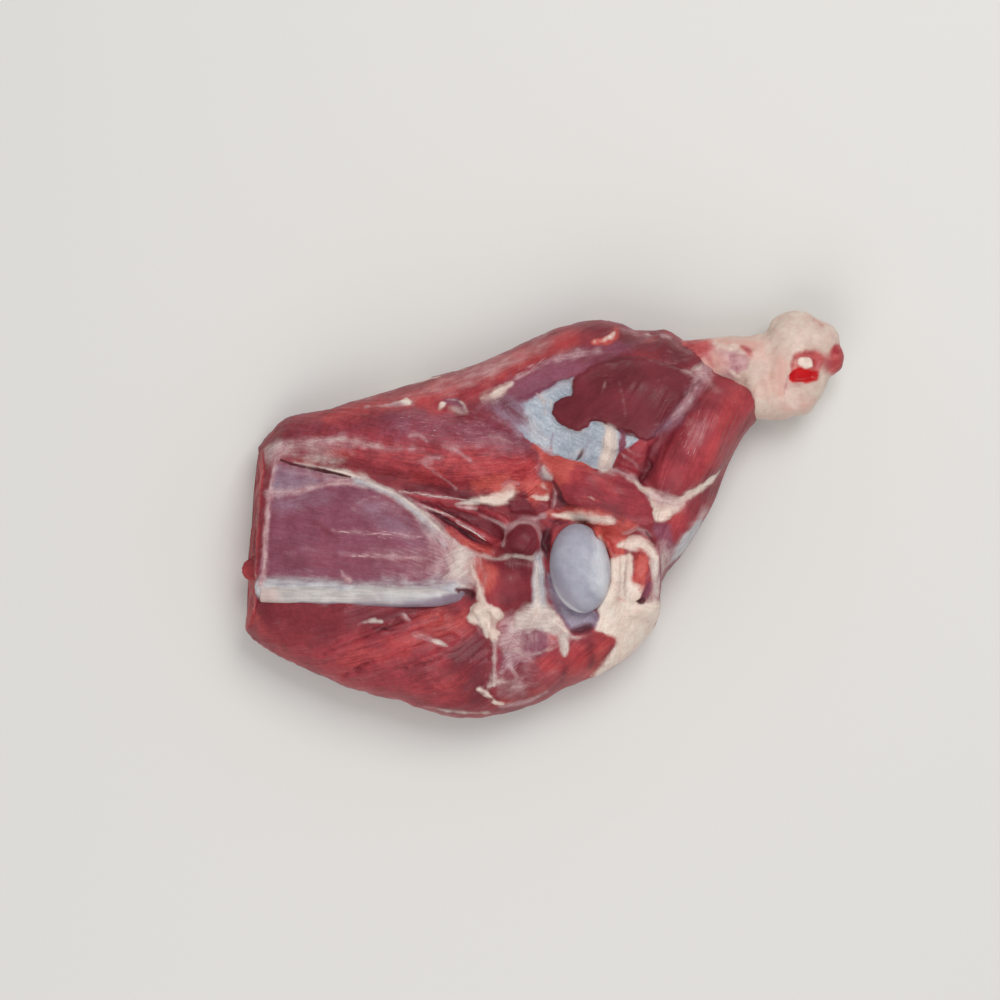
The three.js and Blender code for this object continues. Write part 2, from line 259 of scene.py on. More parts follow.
SLIP_FEATURES = (
    maroon(((-68.2, 11.8), (-51.2, 12.2), (-31.2, 6.2), (-20.2, -2.8), (-21.2, -16.2), (-28.2, -19.8),
        (-35.8, -16.8), (-47.2, -6.2), (-57.8, 3.2)), lift=-5, amount=0.85),
    lean(((-65.2, 9.8), (-51.2, 6.8), (-32.2, 0.8), (-19.2, -3.2)), (2, 4.5, 5.5, 4), lift=2.6),
    lean(((-53.2, 2.2), (-40.2, -4.8), (-24.2, -15.2)), (2, 4.5, 4), lift=2.4, edge=2.2),
    lean(((-45.2, -7.2), (-38.2, -12.8), (-29.2, -18.2)), (2, 3, 3), lift=2, edge=2.2),
    gap(((-59.2, 3.2), (-49.2, -2.8), (-39.2, -9.8), (-30.2, -16.2)), (0.8, 2.4, 2.4, 1), lift=-2,
        edge=1.8, ragged=0.3, amount=1),
    gap(((-61.2, 5.8), (-50.2, 2.2), (-36.2, -4.8), (-25.2, -10.2)), (0.6, 1.2, 1.4, 0.8), lift=-1.5,
        edge=1.8, ragged=0.3, amount=0.75),
    gap(((-48.2, 4.8), (-36.2, 2.2), (-24.2, -2.8)), (0.5, 1.2, 0.6), lift=-1.2, edge=1.8, ragged=0.3,
        amount=0.7),
    film(((-71.2, 10.8), (-56.2, 9), (-36.2, 6)), (0.8, 1.4, 0.8), edge=1.6, ragged=0.3, amount=0.8),
    film(((-63.2, 4.8), (-55.2, 2), (-43.8, -2.2)), (0.8, 1.3, 0.8), edge=1.6, ragged=0.4, amount=0.74),
    film(((-42.8, -3.8), (-36.2, -8), (-29.2, -12.5)), (0.7, 1.1, 0.6), edge=1.6, ragged=0.4,
        amount=0.64),
    film(((-31.8, -1.2), (-24.2, -4.2), (-17.8, -6.8)), (0.8, 1.8, 1.4), edge=1.8, ragged=0.3,
        amount=0.9),
    film(((-42.2, 3.2), (-33.2, 2)), (1, 1.4), edge=1.6, ragged=0.4, amount=0.9),
    orange(((-47.2, -8.2), (-40.2, -13.2), (-33.2, -17.2), (-25.2, -19.2)), (1.2, 2.4, 3.4, 2), lift=1,
        edge=3, amount=0.85),
    orange(((-35.2, 14.2), (-26.2, 18.8), (-11.2, 19.8), (-3.2, 17.2), (-5.2, 10.2), (-18.8, 9.2),
        (-31.2, 9.2)), edge=6, ragged=1.5, amount=0.85),
    fresh(((-21.2, 25.2), (-6.2, 28.2), (-1.2, 21.2), (-3.2, 13.2), (-16.2, 16.2)), edge=7, ragged=1.5,
        amount=0.6),
    fat(((-40.2, 5.2), (-31.2, 6), (-22.8, 6.5), (-14.8, 6.8)), (1, 4, 6.4, 6), lift=1.4, ragged=0.5,
        amount=0.84),
    tendon(((-43.2, 4.5), (-38.2, 5), (-32.2, 5.8)), (0.8, 1.6, 3), edge=2.4, ragged=0.3, amount=0.8),
    fat(((-21.2, 9.2), (-19.2, 12.8), (-15.2, 14.2), (-12.2, 12.2), (-13.8, 9.2), (-17.2, 7.8)),
        lift=0.6, amount=0.48),
    film(((-20.2, 13.2), (-16.2, 14.8), (-11.8, 13.8)), (1, 2, 1.2), ragged=0.8, amount=0.6),
    maroon(((-16.2, 6.8), (-10.2, 8.8), (-4.2, 6.2), (2.8, 5.2), (3.2, 1.8), (-2.2, -0.2), (-14.2, -0.8),
        (-17.2, 2.2)), lift=1.6, edge=4, ragged=1, amount=0.85),
    fresh(((-6.2, 6.2), (3.8, 6.2), (4.8, 0.2), (-3.2, -1.8)), lift=1, edge=4, ragged=1, amount=0.3),
    orange(((-7.2, 11.2), (-1.2, 15.2), (3.2, 14.2), (3.8, 8.2), (-1.2, 4.8), (-6.8, 5.2)), ragged=1,
        amount=0.7),
    fat(((-6.2, 7.8), (-2.2, 7.5), (1.8, 6.8)), (1.4, 2.4, 1.6), lift=0.7, edge=2.4, ragged=1,
        amount=0.8),
    fat(((-0.8, 13.2), (1.8, 11.2)), (2, 2.4), lift=0.6, edge=2.6, ragged=1, amount=0.7),
    film(((4.2, 13.8), (5.8, 8.2), (4.8, 2.8)), (0.8, 1.8, 1), edge=2.2, ragged=0.3, amount=0.8),
    sheen(((-0.2, 25.2), (2.2, 24.2), (4.8, 19.2), (2.8, 16.8), (-0.8, 17.8)), lift=0.4, edge=3,
        ragged=1),
    tendon(((0.2, 22.2), (1.2, 19.2), (3.2, 17.2)), (1, 2, 1.6), edge=2.4, ragged=0.8),
    gap(((3.8, 15.8), (6.8, 14.8), (9.8, 9.2), (11.8, 3.2), (8.2, 4.8), (6.8, 9.8), (5.2, 13.2)),
        lift=-3.5, edge=3, amount=0.8),
    film(((-19.2, -7.8), (-14.2, -4.5), (-6.2, -3.2), (1.2, -1.5), (4.8, 1.2)),
        (1.4, 2.4, 2.4, 2.2, 0.8), lift=0.5, edge=2.2, amount=0.92),
)
LOWER_FEATURES = (
    maroon(((-142.2, -49.8), (-108.2, -47.8), (-70.2, -48.8), (-45.2, -48.8), (-70.2, -54.8),
        (-98.2, -61.8), (-110.2, -69.8), (-130.2, -61.8)), edge=9, ragged=2, amount=0.4),
    fresh(((-148.2, -47.8), (-143.2, -49.8), (-134.2, -61.8), (-128.2, -71.8), (-143.2, -61.8)), edge=5,
        ragged=0.6, amount=0.5),
    lean(((-112.2, -73.8), (-99.2, -66.8), (-84.2, -61.8), (-68.2, -55.8), (-52.2, -51.8)),
        (3, 7, 8, 8, 6), lift=1.4, edge=4, amount=1),
    lean(((-100.2, -83.8), (-84.2, -77.8), (-64.2, -69.8), (-44.2, -61.8)), (3, 7, 8, 6), lift=1.2,
        edge=4, amount=1),
    fresh(((-108.2, -71.8), (-70.2, -57.8), (-42.2, -48.8), (-33.2, -53.8), (-42.2, -65.8),
        (-75.2, -73.8), (-98.2, -79.8)), edge=12, ragged=3, amount=0.62),
    orange(((-62.2, -49.8), (-40.2, -46.8), (-35.2, -52.8), (-45.2, -60.8), (-60.2, -58.8)), edge=8,
        ragged=2, amount=0.45),
    orange(((-101.2, -71.8), (-81.2, -63.8), (-56.2, -58.8), (-51.2, -63.8), (-71.2, -70.8),
        (-93.2, -77.8)), edge=8, ragged=2, amount=0.3),
    fresh(((-96.2, -86.8), (-61.2, -78.8), (-36.2, -77.8), (-36.2, -93.8), (-61.2, -94.8)), edge=14,
        amount=0.3),
    fresh(((-51.2, -69.8), (-31.2, -68.8), (-28.2, -88.8), (-46.2, -93.8)), edge=12, amount=0.3),
    maroon(((-46.2, -69.8), (-30.2, -61.8), (-27.2, -83.8), (-32.2, -93.8), (-44.2, -85.8)), edge=9),
    mauve(((-40.2, -65.8), (-30.2, -59.8), (-27.2, -75.8), (-34.2, -79.8)), edge=8, amount=0.2),
    gap(((-110.2, -71.2), (-99.2, -65.8), (-85.2, -60.2), (-72.2, -54.2), (-62.2, -50.8)),
        (1, 2, 2.6, 2.6, 1.4), lift=-2.2, edge=4.4),
    gap(((-99.2, -81.8), (-92.2, -77.8), (-84.2, -73.2)), (0.8, 1.8, 0.8), lift=-1.8, edge=3.4),
    gap(((-74.2, -77.8), (-58.2, -74.8), (-41.2, -66.8)), (0.5, 1.2, 0.5), lift=-1.4, edge=2.6,
        amount=0.4),
    gap(((-84.2, -56.8), (-76.2, -57.8), (-70.2, -57.2)), (1, 2.2, 1), lift=-1.2, edge=2.6, amount=0.45),
    tendon(((-89.8, -54.8), (-87.2, -52.8), (-82.2, -52.2), (-79.2, -53.8), (-83.2, -55.2)), lift=0.4,
        edge=3, ragged=1.2, amount=0.8),
    film(((-69.2, -50.2), (-66.2, -52.8)), (1.6, 1.8), lift=0.3, edge=2.2, ragged=0.9, amount=0.75),
    film(((-64.2, -60.8), (-57.2, -62.2), (-48.2, -65.8)), (1.4, 3, 1), edge=4, ragged=0.9),
    tendon(((-55.2, -62.8), (-51.2, -64.2), (-47.2, -65.8)), (1, 2.4, 1), lift=0.3, edge=2.6,
        amount=0.85),
    # This tendon-coloured line along the bottom edge is a painted highlight of wet light on the rim.
    tendon(((-59.2, -97.2), (-46.2, -99.8), (-26.2, -100.8)), (1, 2, 1.2), edge=3, amount=0.6),
    orange(((-23.2, -95.8), (-11.2, -93.8), (1.2, -88.8)), (4, 6, 3), edge=6),
    film(((-21.2, -97.8), (-8.8, -95.8), (2.8, -90.8)), (1.2, 2.4, 1.2), amount=0.7),
)
SHANK_FEATURES = (
    orange(((-1.2, 30.2), (10.8, 29.2), (15.8, 23.2), (9.8, 14.2), (3.8, 19.2)), edge=6, ragged=1.5,
        amount=0.85),
    maroon(((8.8, 3.2), (23.8, 4.2), (39.8, 5.2), (41.8, -2.8), (28.8, 2.2)), edge=4, amount=0.4),
    orange(((20.8, 7.8), (26.8, 5.8)), (3, 3.4), edge=3, ragged=0.8),
    fat(((21.8, 7.8), (23.8, 7.2), (25.2, 5.8)), (1, 1.8, 1.2), lift=0.4, edge=1.6, amount=0.9),
    fresh(((23.8, 19.2), (34.8, 17.2), (37.8, 6.2), (26.8, 5.2)), edge=8, amount=0.25),
    mauve(((-21.2, 55.2), (-15.2, 64.2), (-1.2, 73.2), (15.8, 81.2), (38.8, 86.2), (49.8, 86.2),
        (44.8, 81.2), (33.8, 76.2), (20.8, 70.2), (8.8, 67.2), (-6.2, 60.2)), edge=6, amount=0.85),
    maroon(((-11.2, 61.2), (1.2, 68.2), (16.2, 74.2), (33.8, 79.2)), (3, 5, 5, 3), edge=7, ragged=1),
    film(((-17.2, 65.2), (-5.2, 71.2), (6.8, 76.8), (17.8, 79.2), (27.8, 81.2)), (0.8, 2, 4, 4.6, 1.4),
        edge=4, ragged=0.8, amount=0.62),
    glint(((-21.2, 64.2), (-1.2, 74.2), (28.8, 81.2)), (4, 8, 5), edge=4, amount=0.95),
    maroon(((37.8, 88.2), (53.8, 87.2), (70.8, 84.2), (78.8, 77.2), (73.8, 74.2), (53.8, 78.2)), edge=8,
        ragged=1, amount=0.65),
    film(((48.8, 87.2), (60.8, 86.2), (73.8, 80.2), (78.8, 75.2)), (2, 4, 5, 4), edge=7, ragged=1,
        amount=0.22),
    silver(((-21.2, 53.8), (-14.8, 55.8), (-7.8, 58.8), (1.8, 62.2), (9.2, 65.8), (14.8, 67.2),
        (15.2, 62.8), (13.8, 58.2), (9.2, 56.8), (5.2, 53.2), (5.2, 48.2), (8.8, 44.2), (13.8, 41.8),
        (17.8, 40.8), (21.8, 42.8), (23.2, 46.2), (27.2, 46.2), (34.2, 43.8), (42.2, 41.2), (47.2, 37.8),
        (42.8, 31.2), (37.2, 24.2), (31.8, 21.2), (24.8, 21.8), (17.8, 24.8), (8.8, 27.8), (0.8, 29.8),
        (-6.2, 36.2), (-15.2, 45.8)), lift=-1.6),
    mauve(((-21.2, 55.8), (-7.2, 61.2), (4.8, 66.8), (14.2, 70.8)), (8, 10, 9, 5), edge=9, amount=0.95),
    shade(((-21.8, 53.8), (-14.2, 49.8), (-7.2, 42.2)), (8, 12, 7), edge=9, amount=0.9),
    mauve(((-22.8, 54.2), (-17.8, 51.2), (-12.8, 46.8)), (7, 8, 4), edge=8, amount=0.5),
    maroon(((-21.2, 54.2), (-15.2, 51.2), (-9.2, 46.2)), (4, 6, 4), edge=9, amount=0.45),
    sheen(((-7.2, 48.2), (-4.2, 41.2), (1.8, 36.2)), (3, 7, 5), edge=8, amount=0.55),
    sheen(((1.2, 58.2), (6.8, 61.2), (11.8, 64.2)), (1.6, 3, 2), amount=0.5),
    shade(((22.8, 31.2), (24.8, 25.8), (21.8, 22.8)), (2, 4, 3), edge=6, amount=0.3),
    shade(((4.8, 39.2), (3.8, 32.8)), (0.8, 1), edge=1.6, ragged=0.4, amount=0.8),
    shade(((11.8, 44.8), (13.2, 38.2)), (0.8, 0.8), edge=1.6, ragged=0.4, amount=0.7),
    gap(((-0.8, 52.8), (0.2, 48.2)), (0.7, 0.7), ragged=0.3),
    gap(((-4.2, 58.8), (-0.8, 57.2)), (0.7, 0.9), ragged=0.3),
    gap(((3.2, 63.2), (5.2, 59.8)), (0.7, 0.8), ragged=0.3, amount=0.4),
    gap(((8.8, 62.2), (9.8, 59.2)), (0.6, 0.8), ragged=0.3, amount=0.35),
    gap(((-7.2, 54.2), (-5.8, 50.2)), (0.6, 0.8), ragged=0.3, amount=0.35),
    shade(((21.8, 35.8), (20.2, 29.8), (22.8, 25.2)), (0.8, 1.4, 0.8), edge=1.8, ragged=0.4, amount=0.7),
    tendon(((-3.2, 59.2), (0.2, 55.2), (1.8, 49.2)), (1, 1.8, 1), edge=2.4, ragged=0.8),
    tendon(((3.8, 55.2), (4.2, 48.8)), (1.2, 1.4)),
    tendon(((6.2, 46.2), (12.8, 40.8), (18.8, 40.2)), (1, 1.4, 1)),
    tendon(((13.8, 65.2), (14.2, 60.8)), (1, 1.6)),
    tendon(((14.2, 30.2), (18.8, 31.2), (20.2, 27.2)), (1, 1.6, 1)),
    tendon(((22.8, 45.8), (27.8, 44.2), (31.8, 42.2)), (1, 1.8, 1.4), edge=2.4, amount=0.6),
    orange(((-3.2, 33.2), (4.8, 29.2), (14.8, 26.2), (23.8, 22.2)), (3, 5, 5, 3), edge=5, ragged=0.8,
        amount=0.6),
    maroon(((14.2, 63.2), (17.2, 67.8), (26.8, 73.2), (39.8, 77.8), (54.8, 75.2), (69.8, 71.2),
        (78.8, 66.8), (73.8, 61.2), (62.8, 49.2), (53.8, 36.2), (46.2, 36.2), (34.8, 41.8), (24.8, 44.8),
        (21.8, 42.2), (17.8, 40.8), (13.8, 41.8), (8.8, 44.2), (5.2, 48.2), (5.2, 53.2), (9.2, 56.8),
        (13.8, 58.2)), lift=1.8, edge=1.6, ragged=0.7, amount=0.97),
    film(((37.8, 64.2), (39.8, 55.2), (40.8, 47.2)), (0.6, 0.9, 0.6), edge=1.8, ragged=0.4, amount=0.4),
    film(((30.8, 64.2), (28.8, 58.2)), (0.5, 0.8), edge=1.8, ragged=0.4, amount=0.35),
    tendon(((32.8, 40.8), (32.8, 32.8), (30.8, 24.2)), (5, 8, 7.6), lift=0.4, edge=5, amount=1),
    fat(((31.8, 39.2), (31.8, 32.2), (30.2, 25.8)), (3, 4.4, 4), lift=0.3, ragged=0.5, amount=0.6),
    mauve(((37.8, 40.8), (41.8, 38.2), (39.8, 30.2), (37.2, 28.2)), edge=2.4),
    sheen(((39.8, 39.2), (44.2, 37.8), (41.8, 33.8)), (1, 2, 1), edge=1.8, ragged=0.7, amount=0.6),
    gap(((15.8, 27.2), (18.8, 30.8)), (1, 1.4), lift=-0.8, edge=1.8, ragged=0.3, amount=1),
    fat(((-31.8, 56.8), (-26.2, 61.2), (-20.2, 63.8), (-15.2, 65.2), (-16.2, 61.2), (-21.2, 55.8),
        (-26.8, 54.8)), lift=0.5, edge=6, ragged=0.6, amount=0.7),
    film(((-88.2, 52.2), (-74.2, 54.2), (-65.2, 55.2)), (0.8, 2.2, 1.4), lift=0.2, edge=2.6, amount=0.8),
    fat(((-72.8, 55.2), (-69.2, 56), (-66.2, 54.8)), (1.2, 2.4, 1.4), lift=0.4, edge=2.4, amount=0.85),
    mauve(((-48.2, 56.2), (-43.8, 55.2), (-39.8, 51.8)), (3, 4.4, 2), lift=-0.4, edge=2.6),
    fat(((-52.2, 54.8), (-50.8, 56.8), (-48.2, 55.8), (-48.8, 53.2), (-51.2, 52.8)), lift=0.5, edge=2.4,
        amount=0.85),
    tendon(((-48.2, 57.2), (-43.8, 56.5), (-40.2, 54.2), (-37.2, 50.2)), (0.7, 1, 0.8, 0.5), lift=0.3,
        edge=1.8, ragged=0.7, amount=0.65),
    tendon(((-47.2, 52.8), (-43.2, 52.2), (-39.2, 50.2)), (0.8, 1.4, 0.8), ragged=0.4),
    lean(((35.8, 24.2), (39.8, 30.2), (50.8, 35.2), (52.8, 27.2), (48.8, 16.2), (40.8, 20.2)), lift=1.2,
        amount=1),
    film(((38.2, 28.8), (44.8, 25.2), (48.8, 19.2)), (0.6, 1, 0.6), edge=1.6, ragged=0.5, amount=0.6),
    film(((41.8, 31.2), (48.8, 28.2), (51.8, 30.2)), (0.6, 0.9, 0.6), edge=1.6, ragged=0.5, amount=0.6),
    film(((34.8, 23.2), (39.8, 19.2), (45.8, 16.2)), (0.8, 1.2, 0.8), edge=1.8, ragged=0.5, amount=0.7),
    maroon(((52.8, 31.2), (51.8, 23.2), (47.8, 15.8)), (4, 7, 6), edge=5, ragged=0.5, amount=0.8),
    gap(((51.8, 28.2), (51.2, 22.2), (48.8, 16.8)), (1.4, 3.4, 2.6), lift=-3, edge=4.4, amount=0.6),
    glint(((66.8, 52.2), (73.8, 54.2), (81.8, 50.2), (81.8, 36.2), (71.8, 25.2), (65.8, 36.2)), edge=6,
        amount=0.92),
    film(((70.8, 46.2), (75.8, 42.2), (73.8, 32.2)), (3, 7, 4), edge=8, ragged=1.5, amount=0.25),
    mauve(((52.8, 37.2), (60.8, 43.2), (68.8, 52.2), (75.8, 63.2)), (4, 8, 9, 8), edge=8, ragged=0.8,
        amount=0.42),
    shade(((56.2, 39.2), (62.8, 44.8), (69.2, 52.2), (74.2, 59.2), (78.8, 67.2)), (2, 4.4, 5, 5, 4),
        edge=8, ragged=0.5, amount=0.56),
    film(((64.8, 47.2), (70.8, 54.2), (75.2, 61.2), (79.2, 68.2)), (2, 4.2, 4.8, 3.6), edge=6,
        ragged=0.5, amount=0.55),
    fresh(((86.2, 58.8), (101.2, 60.2), (104.8, 51.2), (96.2, 40.2), (86.2, 43.8)), ragged=1),
    film(((69.8, 69.2), (76.8, 73.2), (82.8, 75.2), (86.8, 70.2), (81.8, 67.2), (74.8, 66.2)), edge=6,
        ragged=1.2, amount=0.6),
    film(((80.8, 69.2), (84.2, 64.2), (87.2, 59.8)), (2, 3, 1.4), edge=4, ragged=0.8),
    film(((53.8, 75.2), (62.8, 72.2), (70.8, 70.2)), (0.8, 1.4, 1.4), ragged=0.5, amount=0.45),
    tendon(((73.8, 70.8), (78.8, 73.8), (81.8, 77.2)), (1.4, 2.6, 1.6), edge=3, ragged=0.8, amount=0.6),
    fat(((41.8, 17.2), (51.8, 12.8), (58.8, 9.8), (66.8, 8.2), (74.8, 11.8), (82.8, 16.2), (90.8, 21.8),
        (84.8, 15.2), (77.8, 9.8), (70.8, 4.8), (64.8, -0.2), (58.8, -5.8), (55.8, -4.2), (53.8, 2.2),
        (50.8, 7.8), (45.8, 12.8)), lift=-0.6, amount=0.95),
    film(((48.8, 12.2), (58.8, 6.2), (64.8, 4.2), (73.8, 9.2)), (2, 9, 8, 3), edge=8, ragged=1),
    film(((28.8, 23.2), (35.8, 21.8), (43.8, 17.2)), (1.2, 1.6, 2), ragged=0.5, amount=0.6),
    film(((80.8, 0.2), (74.8, -10.8), (66.8, -22.8)), (3, 7, 8), edge=5, ragged=1, amount=0.9),
    sheen(((78.8, -4.8), (73.2, -12.8), (67.8, -23.8)), (2, 7, 9)),
    mauve(((54.8, -7.8), (62.8, -5.8), (64.8, -17.8), (60.8, -23.8), (56.8, -17.8)), edge=5,
        amount=0.75),
    fat(((97.2, 66.8), (102.8, 63.2), (106.8, 57.2), (107.2, 50.2)), (1.8, 3.2, 3.6, 3), edge=3,
        ragged=0.5, amount=0.9),
    orange(((24.8, 85), (30.8, 86), (35.8, 88.8), (37.2, 92.2)), (2.6, 3.6, 3.6, 2.4), edge=2.4,
        amount=0.8),
    fat(((25.8, 85.2), (30.8, 86.2), (34.8, 88.8), (36.2, 91.2)), (1, 1.7, 1.7, 1), lift=0.6, edge=2.4,
        amount=0.66),
    film(((39.8, 91.8), (51.8, 90.2), (63.8, 88.2)), (0.8, 1.6, 0.8), lift=0.3, edge=2.4, ragged=1,
        amount=0.6),
)
